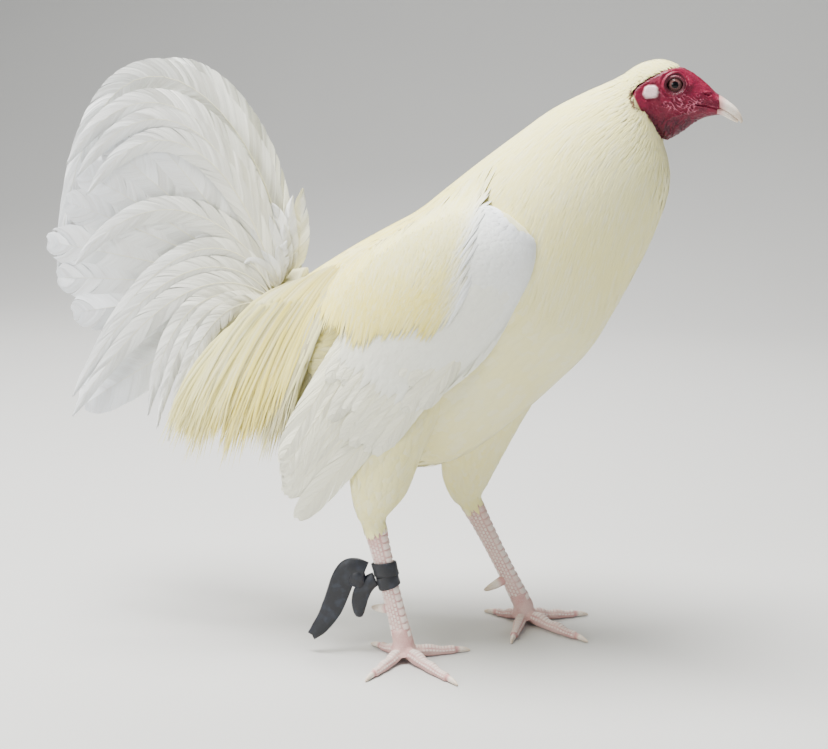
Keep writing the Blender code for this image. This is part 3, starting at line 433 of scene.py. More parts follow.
def face_relief(points):
    """How far the face's skin stands out over its plain form, and how deep its folds are from 0 to 1."""
    x, y, z = points[..., 0], points[..., 1], points[..., 2]
    side = smoothstep(3.0, 8.0, np.abs(y))
    bare = smoothstep(-2.8, -0.8, face_inside(points))
    eye = np.hypot(x - EYE[0], (z - EYE[1]) * 1.04)
    relief = -5.4 * (1 - smoothstep(5.2, 6.7, eye))
    relief += 1.1 * bump(eye, 8.4, 1.0) - 0.55 * bump(eye, 10.2, 0.7)
    relief += 1.3 * bump(x, 232, 10) * bump(z, 471.5, 2.6)
    relief += 1.2 * bump(x, 236, 10) * bump(z, 447, 5) - 1.3 * bump(x, 247, 5) * bump(z, 457, 4)
    relief += 0.9 * bump(line_distance(x, z, THROAT_FOLD), 0, 1.3)
    turn = np.arctan2(z - LOBE[1], x - LOBE[0])
    lobe = ellipse(x, z, LOBE, LOBE_SIZE)
    lobe /= 1 + 0.05 * np.cos(2 * turn - 0.6) + 0.03 * np.cos(3 * turn + 1) - 0.045 * np.cos(4 * turn)
    relief += 2.3 * (1 - smoothstep(0.8, 1.08, lobe)) - 0.6 * bump(lobe, 1.22, 0.12)
    relief -= 1.2 * bump(line_distance(x, z, MOUTH), 0, 0.55)
    relief += 0.5 * bump(line_distance(x, z, MOUTH + (0, 1.7)), 0, 0.8)
    relief -= 1.5 * (1 - smoothstep(0.5, 1.2, ellipse(x, z, NOSTRIL, (2.7, 0.8), 0.25)))
    relief += 0.8 * bump(ellipse(x, z, NOSTRIL + (0, 1.5), (3.6, 1.1)), 0, 1)
    relief *= side
    comb = bump(y, 0, 2.6) * smoothstep(234, 248, x) * (1 - smoothstep(254, 266, x)) * (z > 445)  # trimmed close
    relief += comb * (1.2 + 0.35 * noise(points, 3.5, 3))
    cheek = bump(x, 239, 18) * bump(z, 446.5, 9)
    warp = 2.4 * noise(points, 5.0, 5)
    hang = smoothstep(441, 432, z)
    pleats = seams(x + warp, z, 62, 4.5, 1.2, 9)
    pebbles = 1 - np.abs(2 * noise(points + warp[..., None] * 0.3, 1.25, 13) - 1)
    folds = hang * pleats**3 + 0.42 * pebbles**2 * (1 - cheek * 0.6) + 0.35 * cheek
    plain = smoothstep(1.2, 1.0, lobe) + smoothstep(7.6, 6.9, eye) + smoothstep(260, 265, x)
    ridges = cheek * seams(x + warp, z + warp, -28, 3.0, 1.5, 7) ** 4
    folds = (np.clip(folds, 0, 1) - 1.7 * ridges) * bare * (1 - np.clip(plain, 0, 1))
    relief -= 0.75 * folds - 0.35 * bare * np.clip(cheek + hang, 0, 1)
    return relief, folds, bare, 1 - smoothstep(0.85, 1.15, lobe + 0.2 * (noise(points, 1.6, 17) - 0.5)), eye


def coat_inset(stations, points):
    """How deep the skin lies under the plumage's outline."""
    feathered = 1 - smoothstep(-1.5, 3.0, face_inside(points))
    return feathered * np.interp(stations, (3, 6, 9), (0.9, 1.6, COAT_DEPTH))[:, None]


HEAD_AROUND, HEAD_RINGS, TRUNK_AROUND = 304, 190, 76
SEAM_STATION = 7.6


def skin_head():
    """Points of the head's skin with its folds, and what its finish reads."""
    stations = np.concatenate([np.linspace(0, 0.3, 8)[:-1], np.linspace(0.3, SEAM_STATION, HEAD_RINGS)])
    angles = ring_angles(HEAD_AROUND)
    plain = body_grid(stations, angles)
    relief, folds, bare, lobe, eye = face_relief(plain)
    points = body_grid(stations, angles, -coat_inset(stations, plain))
    points = points + Sheet(plain).normals[:, :HEAD_AROUND] * relief[..., None]
    return points, together(bare, folds, lobe, np.clip(eye / 20, 0, 1))


def tube_object(rings, name, finish=None, plume=None, detail=None):
    """A closed body through rings of points."""
    rings = np.asarray(rings, float)
    count, around = rings.shape[:2]
    index = np.arange(count * around).reshape(count, around)
    after = np.roll(index, -1, axis=1)
    first, last = together(count * around, after[0], index[0]), together(count * around + 1, index[-1], after[-1])

    def capped(table):
        """The rings' numbers and those of each end's middle."""
        if table is not None:
            return np.concatenate([table.reshape(-1, table.shape[-1]), table[:1].mean(1), table[-1:].mean(1)])

    points = capped(rings)
    faces = outward(points, np.concatenate([band_faces(index), first, last]))
    return mesh_object(name, points, faces, finish, capped(plume), detail=capped(detail))


def leg_rings(rows, side, stations, around):
    """Rings of a thigh: front x and z, back x and z, half width, middle's distance out."""
    middle, up, rest, c, s = loft(rows, stations, ring_angles(around))
    spot = middle + up * c[..., None]
    return together(spot[..., 0], side * (rest[..., 1] + rest[..., 0] * s), spot[..., 1])


# The small plumage

SOFT_FORM = (0.5, 0.95, 1.0, 0.78, 0.0)
NARROW_FORM = (0.5, 0.9, 1.0, 0.85, 0.55, 0.0)


def outer_sheet():
    return Sheet(body_grid(np.linspace(0, VENT, 420), ring_angles(256)))


def station_of(u):
    return np.asarray(u) * VENT


def back_turn(v):
    """How far round from the back a place is, from 0 at the back to 1 at the belly."""
    v = np.mod(v, 1.0)
    return np.minimum(v, 1 - v) * 2


def zones(sheet, side=0):
    """Over the body's sheet: the stations, how far round from the back, and what lies on that side."""
    rows, columns = sheet.points.shape[:2]
    v = np.linspace(0, 1, columns)[None, :]
    return station_of(np.linspace(0, 1, rows)[:, None]), back_turn(v), (v < 0.5) == (side > 0)


def downwards(v, degree):
    """A heading that turns down from the back on both sides."""
    return np.where(np.mod(v, 1.0) < 0.5, 1.0, -1.0) * degree


def gold_tint(x, z, turn):
    """How yellow the plumage is: the back and saddle most, the hackles softly, the breast least."""
    back = smoothstep(0.62, 0.2, turn)
    low_back = smoothstep(150, 20, x) * back
    patches = noise(together(x, z), 34, 21)
    along, across = wing_place(x, z)
    flank = bump(across, -34, 9) * smoothstep(95, 130, along) * smoothstep(230, 180, along) * smoothstep(0.2, 0.4, turn)
    return np.clip(0.22 + 0.42 * low_back + 0.16 * back + 0.24 * (patches - 0.5) + 0.5 * flank, 0, 1)


def cool_and_shade_tint(x, z):
    """How grey and cool the white is: cool white everywhere, greyer low down as painted shade on the belly and the
    thighs, which lie in their own shade.
    """
    return np.clip(0.12 + 0.12 * smoothstep(330, 190, z - 0.25 * x), 0, 1)


def lay_coat(
    name, sheet, finish, count, density, length, width, form, start, heading=0.0, lifts=None, ridge=0.3, stray=0.12,
    gold=None, twist=0.0, rounded=0.3, uneven=0.15, cool=None,
):
    """A piece of small plumage over a sheet. Length, width and heading may be functions of u and v."""
    u, v = sheet.places(count, density, start)
    length, width, heading = (item(u, v) if callable(item) else item for item in (length, width, heading))
    length = length * (0.85 + 0.3 * random.random(len(u)))
    width = width * (0.85 + 0.3 * random.random(len(u)))
    heading = heading + stray * (random.random(len(u)) - 0.5) * 2
    points, normals = sheet.lay(u, v, length, heading, len(form))
    if lifts is None:
        lifts = np.interp(np.linspace(0, 1, len(form)), (0, 0.3, 0.75, 1), (-3.2, -0.9, 0.0, -0.1))
    rise = np.asarray(lifts)[:, None] + uneven * (random.random(len(u)) - 0.5)
    root = points[0]
    tint = gold(u, v) if gold is not None else gold_tint(root[:, 0], root[:, 2], back_turn(v))
    turn = twist * (random.random(len(u)) - 0.5)[None, :, None]
    sections = strips(points, normals, width, form, rise, ridge, turn, rounded)
    chill = cool_and_shade_tint(root[:, 0], root[:, 2]) if cool is None else cool(u, v) + 0 * u
    return coat(name, sections, finish, tint, chill, u, v)


def head_feathers(sheet, finish):
    """The short close feathers that edge the bare face and cover the crown and nape."""
    edge = face_inside(sheet.points)
    density = (edge < 0.4) * smoothstep(8.9, 8.0, zones(sheet)[0]) * (1 + 2.2 * smoothstep(-14, 0, edge))

    def length(u, v):
        return 4.2 + 12 * smoothstep(0, 26, -face_inside(sheet.read(sheet.points, u, v)))

    return lay_coat(
        "head_feathers", sheet, finish, 4600, density, length, lambda u, v: 0.8 + length(u, v) * 0.15,
        (0.5, 1.0, 0.8, 0.0), 0, lifts=(-1.2, -0.1, 0.3, 0.15), ridge=0.12, stray=0.16, rounded=0.25,
    )


def face_fringe(sheet, finish):
    """Fine dark strands, painted shade where the crown's and the neck's feathers begin behind the bare face."""
    x, z = sheet.points[..., 0], sheet.points[..., 2]
    patchy = 0.15 + smoothstep(0.45, 0.7, noise(sheet.points, 4.0, 3))
    density = bump(face_inside(sheet.points), -0.2, 0.8) * smoothstep(224, 212, x) * smoothstep(430, 438, z) * patchy
    return lay_coat(
        "face_fringe", sheet, finish, 260, density, 2.2, 0.34, (0.6, 1.0, 0.7, 0.0), 40,
        lifts=(-0.3, 0.5, 0.75, 0.7), ridge=0.2, stray=0.5,
    )


def neck_hackles(sheet, finish, name, side):
    """Long narrow hackles that flow from the nape over the neck to the shoulder."""
    station, turn, own = zones(sheet, side)
    density = own * smoothstep(7.2, 8.3, station) * smoothstep(13.2, 11.6, station) * smoothstep(0.9, 0.66, turn)

    def length(u, v):
        return mix(17, 46, smoothstep(7.2, 10.5, station_of(u))) * mix(1.0, 0.8, smoothstep(0.4, 0.8, back_turn(v)))

    def heading(u, v):
        return downwards(v, 0.34) * smoothstep(0.04, 0.4, back_turn(v)) * smoothstep(8, 11, station_of(u))

    return lay_coat(
        f"hackles_{name}", sheet, finish, 3700, density, length, lambda u, v: 1.5 + 0.032 * length(u, v), NARROW_FORM,
        1000, heading=heading, lifts=(-3.6, -0.4, 0.35, 0.55, 0.5, 0.1), ridge=0.24, stray=0.06, twist=0.15,
    )


def breast_feathers(sheet, finish, name, side):
    """The smooth rounded feathers of the throat, breast, flanks and belly."""
    station, turn, own = zones(sheet, side)
    front = smoothstep(0.5, 0.74, turn) * smoothstep(7.9, 8.6, station)
    density = own * smoothstep(18.6, 17.6, station) * np.maximum(front, 0.55 * smoothstep(11.5, 13.5, station))

    def length(u, v):
        return mix(14, 30, smoothstep(7.6, 12, station_of(u)))

    return lay_coat(
        f"breast_{name}", sheet, finish, 3400, density, length, lambda u, v: 0.26 * length(u, v) + 0.6, SOFT_FORM,
        7000, lifts=(-3.2, -0.6, 0.1, 0.2, 0.0), ridge=0.18, stray=0.13, rounded=0.26, uneven=0.4,
    )


def back_feathers(sheet, finish):
    """The longer, narrow feathers down the middle of the back."""
    station, turn, _ = zones(sheet)
    density = smoothstep(11.6, 12.8, station) * smoothstep(19.4, 18.7, station) * smoothstep(0.46, 0.34, turn)
    return lay_coat(
        "back_feathers", sheet, finish, 2800, density, 40, 3.0, NARROW_FORM, 3000,
        heading=lambda u, v: downwards(v, 0.5) * smoothstep(0.05, 0.35, back_turn(v)),
        lifts=(-3.6, -0.4, 0.4, 0.6, 0.6, 0.3), ridge=0.24, stray=0.08, twist=0.2,
    )


def vent_fluff(sheet, finish):
    """Loose soft feathers round the vent and under the tail."""
    station, turn, _ = zones(sheet)
    density = smoothstep(16.9, 18.2, station) * smoothstep(19.95, 19.6, station) * (turn > 0.3)
    return lay_coat(
        "vent_fluff", sheet, finish, 1500, density, 24, 4.4, SOFT_FORM, 5000,
        lifts=(-3.5, -0.4, 0.8, 1.4, 1.6), ridge=0.3, stray=0.3,
    )


# The thighs' sections: front x and z, back x and z, half width, the middle's distance out.
THIGHS = {
    "right": (
        (78, 240, 2, 222, 20, 33), (60, 205, -14, 182, 24, 38), (42, 164, -15, 154, 23, 41),
        (32, 138, -12, 134, 18, 46), (21, 124, -7, 119, 12, 50),
    ),
    "left": (
        (152, 274, 76, 252, 16, 29), (140, 240, 62, 216, 20, 33), (126, 206, 50, 176, 24, 38),
        (110, 176, 45, 144, 23, 41), (95, 147, 46, 124, 18, 46), (82, 121, 53, 107, 12, 50),
    ),
}


def thigh_rows(name, side):
    """The thigh's sections down to the hock, where it ends square to the shank."""
    hock, _ = shank_line(name, side)
    _, front, _ = shank_frame(name, side)
    ahead, behind = hock + front * SHANK_RADII[0], hock - front * SHANK_RADII[0]
    end = (ahead[0], ahead[2], behind[0], behind[2], SHANK_RADII[0] * SHANK_NARROW, abs(hock[1]))
    return (*THIGHS[name], end)


def thigh_feathers(finish, name, side):
    """Short soft feathers down the thigh, which end in an edge round the hock."""
    rows = thigh_rows(name, side)
    hock, ankle = shank_line(name, side)
    below = (ankle - hock) * 0.14
    end = np.array(rows[-1], float) + (below[0], below[2], below[0], below[2], 0.6, 0)
    sheet = Sheet(leg_rings((*rows, end), side, np.linspace(0, len(rows) - 0.02, 96), 96), outwards=-side)
    u = np.linspace(0, 1, 96)[:, None] * (1 + 1 / (len(rows) - 1))

    def length(u, v):
        return mix(20, 11, smoothstep(0.3, 1, u))

    return lay_coat(
        f"thigh_feathers_{name}", sheet, finish, 1900, smoothstep(1.02, 0.93, u) * (1 + 1.5 * u),
        length, lambda u, v: 0.24 * length(u, v) + 0.7, SOFT_FORM, 900, lifts=(-2.4, -0.8, -0.1, 0.15, 0.1), ridge=0.2,
        stray=0.2, gold=lambda u, v: 0.3 + 0.2 * (random.random(len(u)) - 0.5), rounded=0.32, uneven=0.5,
        # The thighs' cool grey is partly painted shade.
        cool=lambda u, v: 0.2,
    )


# Flight and tail feathers, barb by barb

ROUND_VANE = (
    (0.0, 0.35), (0.12, 0.7), (0.3, 0.92), (0.55, 1.0), (0.8, 0.98), (0.9, 0.88), (0.96, 0.64), (0.99, 0.34),
    (1.0, 0.0),
)
SICKLE_VANE = (
    (0.0, 0.3), (0.1, 0.66), (0.24, 0.92), (0.4, 1.0), (0.55, 0.96), (0.7, 0.82), (0.85, 0.56), (0.94, 0.34),
    (1.0, 0.0),
)
POINTED_VANE = ((0.0, 0.5), (0.15, 0.85), (0.4, 1.0), (0.65, 0.85), (0.85, 0.5), (1.0, 0.0))


class Vane:
    """A feather's blade draped over a sheet beside the middle plane.

    Controls are the root, two handles and the tip in x and z. Tilt raises one edge over the
    next feather, cup arches the blade, and dip sinks its root.
    """

    def __init__(
        self, controls, width, form, sheet, lift, side, tilt=0.8, cup=0.6, dip=0.0, curl=0.0, gold=0.0, sweep=1.3,
        cool=1.0,
    ):
        self.controls, self.width, self.form, self.sheet = controls, width, np.array(form), sheet
        self.lift, self.side, self.tilt, self.cup, self.dip = lift, side, tilt, cup, dip
        self.curl, self.gold, self.sweep, self.cool = curl, gold, sweep, cool
        line = bezier(controls, np.linspace(0, 1, 40))
        self.length = np.linalg.norm(np.diff(line, axis=0), axis=1).sum()

    def place(self, t, s):
        """A point of the blade: t from root to tip, s from -1 to 1 across."""
        t = np.clip(t, 0, 1)
        centre = bezier(self.controls, t)
        ahead = unit(bezier(self.controls, np.minimum(t + 0.01, 1)) - bezier(self.controls, np.maximum(t - 0.01, 0)))
        across = together(-ahead[..., 1], ahead[..., 0])
        half = self.width / 2 * np.interp(t, self.form[:, 0], self.form[:, 1])
        spot = centre + (s * half)[..., None] * across
        out = self.sheet(spot[..., 0], spot[..., 1]) + self.lift - self.tilt * s + self.cup * (1 - s * s)
        out = out - self.dip * (1 - smoothstep(0, 0.25, t)) + self.curl * t**3
        return together(spot[..., 0], self.side * out, spot[..., 1])


def plate_faces(rows, columns):
    """Triangles of a thin closed plate: its upper grid of points, then its lower one."""
    size = rows * columns
    upper = np.arange(size).reshape(rows, columns)
    rim = np.concatenate([upper[0, :-1], upper[:-1, -1], upper[-1, :0:-1], upper[:0:-1, 0]])
    after = np.roll(rim, -1)
    top = np.stack([upper[:-1, :-1], upper[:-1, 1:], upper[1:, 1:], upper[1:, :-1]], -1).reshape(-1, 4)
    quads = np.concatenate([top, top[:, [0, 3, 2, 1]] + size, np.stack([rim, rim + size, after + size, after], -1)])
    return np.concatenate([quads[:, [0, 1, 2]], quads[:, [0, 2, 3]]])


BARB_COLUMNS = np.array((0.0, 0.3, 0.58, 0.82, 0.95, 1.0))
BARB_ROW = 3.2  # from one row of points to the next along the shaft
SILK = 0.13  # how much the barbs' shading wavers


def web_bundles(vane, fray):
    """Both webs of a vane, as bundles of barbs that lie edge to edge and part towards the margin."""
    rows = max(8, int(vane.length / BARB_ROW))
    edges = np.linspace(0.0, 0.985, rows)
    step, q, out = edges[1], BARB_COLUMNS[None, :], np.array((0.0, vane.side, 0.0))
    places, shares, normals, faces, start = [], [], [], [], 0
    for sign in (1, -1):
        first = 0
        while first < rows - 1:
            last = min(rows - 1, first + random.integers(2, 8))
            last = rows - 1 if rows - 1 - last < 2 else last
            root = edges[first:last + 1][:, None]
            middle, part = root.mean(), fray * (random.uniform(0.0, 0.1) + 0.3 * (random.random() < 0.14))
            gathered = middle + (root - middle) * (1 - part * q**2)
            slip = fray * random.uniform(-0.5, 0.5) / vane.length
            ahead = np.minimum(vane.sweep * vane.width / 2 / vane.length, 0.85 * (1 - gathered))
            t = gathered + ahead * q**1.25 + slip * q**2
            ends = np.abs(root - middle) / (root[-1] - middle)
            reach = 1 - 0.03 * fray * ends**2 - 0.03 * fray * random.random(root.shape) - 0.03 * fray * random.random()
            s = sign * q * reach
            lift = (0.22 * fray * random.uniform(-1, 1)) * q**2
            face = vane.place(t, s) + out * lift[..., None]
            inner = np.minimum(t, 1 - step)
            along = unit(vane.place(inner + step / 2, s) - vane.place(inner - step / 2, s))
            beside = unit(vane.place(inner, s + 0.05) - vane.place(inner, s - 0.05))
            facing = unit(np.cross(along, beside))
            facing *= np.sign(facing[..., 1:2] * vane.side)
            lean = SILK * (random.normal(0, 1, 2)[:, None] + 0.7 * random.normal(0, 1, (2, len(root))))[..., None, None]
            facing = unit(facing + lean[0] * along + lean[1] * beside)
            thick = facing * mix(0.5, 0.26, q)[..., None] / 2
            places += [(face + thick).reshape(-1, 3), (face - thick).reshape(-1, 3)]
            normals += [facing.reshape(-1, 3), -facing.reshape(-1, 3)]
            table = together(np.clip(t, 0, 1), (s + 1) / 2, root * vane.length / 100, random.random())
            shares += 2 * [table.reshape(-1, 4)]
            plate = plate_faces(*s.shape) + start
            faces.append(plate[:, ::-1] if sign * vane.side < 0 else plate)
            start += 2 * s.size
            first = last
    return [np.concatenate(group) for group in (places, faces, shares, normals)]


def quill_strip(vane):
    """The feather's shaft along the middle of its blade."""
    t = np.linspace(0, 0.95, 22)[:, None]
    radius = np.interp(t, (0, 0.5, 0.95), (0.85, 0.5, 0.16))[..., None] * min(1.0, vane.width / 20)
    point = vane.place(t, 0 * t)
    beside, over = unit(vane.place(t, 0 * t + 0.05) - point), np.array((0.0, vane.side, 0.0))
    section = np.stack([point - beside * radius, point + beside * radius, point + over * (0.3 + 0.6 * radius)], axis=2)
    facing = np.stack([over * 0.6 - beside, over * 0.6 + beside, over + 0 * beside], axis=2)
    points, faces, step, _, _ = prisms(np.concatenate([section, facing], axis=3), pointed=False)
    share = t[step, 0]
    return points[:, :3], faces, together(share, 0.5, share * vane.length / 100, 0.95), points[:, 3:]


def feather_piece(name, vanes, finish, fray):
    """One piece of many vanes. On the bake map each vane has a cell of its own, root at its left."""
    columns = math.ceil(math.sqrt(len(vanes)))
    parts, start = [], 0
    for number, vane in enumerate(vanes):
        corner = np.array((number % columns, number // columns)) / columns
        for quill, (spots, triangles, table, facing) in enumerate((web_bundles(vane, fray), quill_strip(vane))):
            share, across, along, tone = table.T
            cool = vane.cool * (0.62 + 0.38 * share - 0.3 * quill)
            gold = vane.gold * (1 - 0.6 * smoothstep(0.0, 0.5, share)) + 0.12 * quill
            plume = together(gold, tone, 0.25 + 0.75 * share, cool)
            detail = together(along, np.abs(across * 2 - 1), 0, 0)
            patch = corner + (0.03 + 0.94 * np.clip(table[:, :2], 0, 1)) / columns
            parts.append((spots, triangles + start, plume, patch, detail, facing))
            start += len(spots)
    spots, faces, plume, patch, detail, facing = (np.concatenate(column) for column in zip(*parts))
    return mesh_object(name, spots, faces, finish, plume, patch, detail, facing)


# The wing lies along a line from its bend to its tip.
WING_BEND, WING_TIP = np.array((118.0, 352.0)), np.array((-67.0, 111.0))
WING_LENGTH = float(np.linalg.norm(WING_TIP - WING_BEND))
WING_ALONG = (WING_TIP - WING_BEND) / WING_LENGTH
WING_ACROSS = np.array((WING_ALONG[1], -WING_ALONG[0]))
# The arm's sections: their place along the wing, lower and upper edge across it, and rise.
WING_ARM = (
    (-9, -8, 14, 3.0), (-3, -20, 28, 7.0), (18, -32, 46, 10.0), (50, -40, 62, 8.6), (85, -42, 73, 6.4),
    (115, -38, 76, 4.4), (142, -30, 70, 2.2),
)
# Root along and across, tip along and across, for the lowest vane and the highest, then how
# many, width and tier.
WING_TIERS = {
    "flight": (((88, -22), (286, 8)), ((70, 54), (263, 31)), 10, 23, 0.0),
    "greater_covert": (((52, -24), (200, -24)), ((40, 50), (184, 42)), 11, 18, 1.4),
    "median_covert": (((20, -22), (150, -30)), ((20, 40), (134, 48)), 10, 17, 2.4),
}
LOWEST_QUILL = ((92.0, -20.0), (294.0, -7.0))


def wing_place(x, z):
    away = together(x, z) - WING_BEND
    return away @ WING_ALONG, away @ WING_ACROSS


def wing_point(along, across):
    return WING_BEND + together(along, across) @ np.array((WING_ALONG, WING_ACROSS))


def wing_sheet(x, z):
    """How far out the innermost vane of the folded wing lies."""
    along, across = wing_place(x, z)
    return 65 + 5 * np.sin(math.pi * np.clip(along, 0, 295) / 220) - 0.0048 * across**2


def wing_layer(across):
    return (across + 26) / 11


def wing_vanes(side):
    vanes = []
    for label, (lowest, highest, count, width, tier) in WING_TIERS.items():
        flight = label == "flight"
        for i in range(count):
            root, tip = mix(np.array(lowest, float), np.array(highest, float), i / (count - 1))
            tip = tip + random.normal(0, 1.0, 2) * ((1, 1) if flight else (12, 1))
            if flight and i == 0:
                root, tip = np.array(LOWEST_QUILL)
            bow = 6.0 if flight else 3.0
            spots = (root, mix(root, tip, 0.35) + (0, 0.15 * bow), mix(root, tip, 0.7) + (0, 0.5 * bow), tip)
            vanes.append(
                Vane(
                    [wing_point(*spot) for spot in spots], width * (0.95 + 0.1 * random.random()), ROUND_VANE,
                    wing_sheet, wing_layer(root[1]) * 0.85 + tier, side, tilt=1.25, cup=1.1, dip=2.0, gold=0.10,
                    sweep=3.2, cool=0.6,
                )
            )
    return vanes


def wing_arm_rings(side):
    """The feathered arm: an elliptical dome over the sheet of the wing, flatter within."""
    table = spline(WING_ARM, np.linspace(0, len(WING_ARM) - 1, 60))
    angles = ring_angles(120)
    along, low, high, rise = (table[:, k:k + 1] for k in range(4))
    across = (low + high) / 2 + (high - low) / 2 * np.cos(angles)
    spot = wing_point(along, across)
    out = wing_sheet(spot[..., 0], spot[..., 1]) + wing_layer(across) * smoothstep(-10, 40, along)
    out = out + np.where(np.sin(angles) > 0, rise, 10.0) * np.sin(angles)
    return together(spot[..., 0], side * out, spot[..., 1])


def wing_coverts(finish, name, side):
    """The small smooth coverts of the shoulder, longer towards the flight feathers."""
    sheet = Sheet(wing_arm_rings(side), outwards=side)
    angle = np.linspace(0, 2 * math.pi, sheet.points.shape[1])
    along, across = wing_place(sheet.points[..., 0], sheet.points[..., 2])
    caped = smoothstep(fringe_line(across) + 8, fringe_line(across), along)
    caped = caped * smoothstep(cape_start(across) - 4, cape_start(across) + 22, along)

    def length(u, v):
        return mix(11, 34, smoothstep(0.05, 0.9, u))

    return lay_coat(
        f"wing_coverts_{name}", sheet, finish, 2000, (np.sin(angle) > 0.06) * (1 - caped), length,
        lambda u, v: 3.2 + 0.16 * length(u, v), SOFT_FORM, 300, lifts=(-2.4, -0.5, 0.25, 0.4, 0.2), ridge=0.14,
        stray=0.07, rounded=0.16, gold=lambda u, v: 0.1 * u, cool=lambda u, v: 0.95 - 0.3 * u,
    )


# Where along the wing the cape begins and ends, by how far across it.
CAPE_START = np.array(((-20, 78), (-6, 54), (8, 30), (21, 6), (32, -14), (45, -34), (80, -50)), float)
CAPE_FRINGE = np.array(((-24, 72), (-11, 82), (16, 97), (38, 122), (56, 142), (75, 150)), float)
CAPE_ALONG, CAPE_ACROSS = (-60.0, 176.0), (-34.0, 112.0)


def cape_start(across):
    return np.interp(across, *CAPE_START.T)


def fringe_line(across):
    return np.interp(across, *CAPE_FRINGE.T)


def taut(places, heights):
    """The heights of a cloth drawn taut over the row of places."""
    hull = []
    for spot in zip(places, heights):
        while len(hull) > 1:
            (x0, h0), (x1, h1) = hull[-2:]
            if (x1 - x0) * (spot[1] - h0) < (h1 - h0) * (spot[0] - x0):
                break
            hull.pop()
        hull.append(spot)
    return np.interp(places, *zip(*hull))


def cape_sheet(side):
    """A surface from the back down over the upper wing, drawn taut over the groove between them."""
    along, across = np.meshgrid(np.linspace(*CAPE_ALONG, 118), np.linspace(*CAPE_ACROSS, 110), indexing="ij")
    spot = wing_point(along, across)
    x, z = spot[..., 0], spot[..., 1]
    table = np.array(WING_ARM)
    low, high, rise = (np.interp(along, table[:, 0], table[:, k]) for k in (1, 2, 3))
    reach = np.clip(np.abs(2 * across - low - high) / (high - low), 0, 1)
    base = wing_sheet(x, z) + wing_layer(across) * smoothstep(-10, 40, along)
    arm = np.where((reach < 0.98) & (along > WING_ARM[0][0]), base + rise * np.sqrt(1 - reach**2), 0)
    vanes = np.where((across < 52) & (along > 60), base + 2.2, 0)
    out = np.maximum(np.maximum(arm, vanes), trunk_side(x, z))
    inside = trunk_side(x, z) > 6
    for row in range(len(out)):
        held = inside[row] | (across[row] < 60)
        out[row, held] = taut(across[row, held], out[row, held])
    return Sheet(together(x, side * out, z), closed=False, outwards=-side), along, across, inside


def cape_strands(finish, name, side):
    """The narrow yellow feathers of the back that fall over the upper half of the wing."""
    sheet, along, across, inside = cape_sheet(side)
    end = fringe_line(across) - 38 + 16 * (noise(together(along * 0.4, across), 7, 4) - 0.5)
    density = smoothstep(end + 6, end - 6, along) * smoothstep(cape_start(across) - 10, cape_start(across) + 26, along)
    density = density * (inside | (across < 60)) * (np.abs(sheet.points[..., 1]) > 22)
    density = density * (0.4 + 1.2 * smoothstep(40, 0, end - along))

    def behind_start(u, v, low, high):
        across = mix(*CAPE_ACROSS, v)
        begun = smoothstep(low, high, mix(*CAPE_ALONG, u) - cape_start(across))
        return np.maximum(begun, smoothstep(25, 50, across))

    def tint(u, v):
        streaks = 0.36 * (random.random(len(u)) - 0.5)
        gold = 0.24 + 0.6 * smoothstep(-110, -45, mix(*CAPE_ALONG, u) - fringe_line(mix(*CAPE_ACROSS, v))) + streaks
        return np.clip(gold, 0, 1) * behind_start(u, v, -8, 34)

    return lay_coat(
        f"cape_{name}", sheet, finish, 3300, density, 43, 2.5, NARROW_FORM, 700,
        heading=lambda u, v: -0.1 - 0.34 * smoothstep(15, 70, mix(*CAPE_ACROSS, v)),
        lifts=(-2.5, 0.5, 1.4, 1.7, 1.6, 1.2), ridge=0.26, stray=0.1, gold=tint, twist=0.3,
        cool=lambda u, v: mix(0.9, 0.06, behind_start(u, v, -4, 30)),
    )


def arm_fringe(finish, name, side):
    """The white coverts that run from the arm over the roots of the long feathers."""
    sheet, along, across, _ = cape_sheet(side)
    ragged = 18 * (noise(together(along * 0.3, across), 9, 6) - 0.5)
    density = smoothstep(fringe_line(across) - 62, fringe_line(across) - 50, along)
    density = density * smoothstep(132, 118, along + ragged) * smoothstep(-30, -24, across) * smoothstep(54, 46, across)
    return lay_coat(
        f"arm_fringe_{name}", sheet, finish, 900, density, 36, 6.5, SOFT_FORM, 1700, heading=-0.03,
        lifts=(-1.6, -0.2, 0.5, 0.7, 0.1), ridge=0.16, stray=0.06, rounded=0.16, gold=lambda u, v: 0.04 + 0.1 * v,
        cool=lambda u, v: 0.75,
    )


# The saddle hackles: the foremost and the hindmost, in an inner and an outer layer.
SADDLE = (
    (((-22, 296), (-36, 278), (-64, 240), (-80, 170)), ((-65, 283), (-102, 286), (-148, 240), (-174, 170))),
    (((-6, 334), (-28, 300), (-50, 256), (-64, 200)), ((-56, 305), (-94, 298), (-124, 250), (-146, 192))),
)


def saddle_sheet(x, z):
    """How far out the saddle hackles hang: outside the rump, and flaring a little behind it."""
    flare = 33 + 15 * smoothstep(0, 170, np.hypot(x + 40, z - 306))
    return np.maximum(trunk_side(x, z) + 1.3, flare)


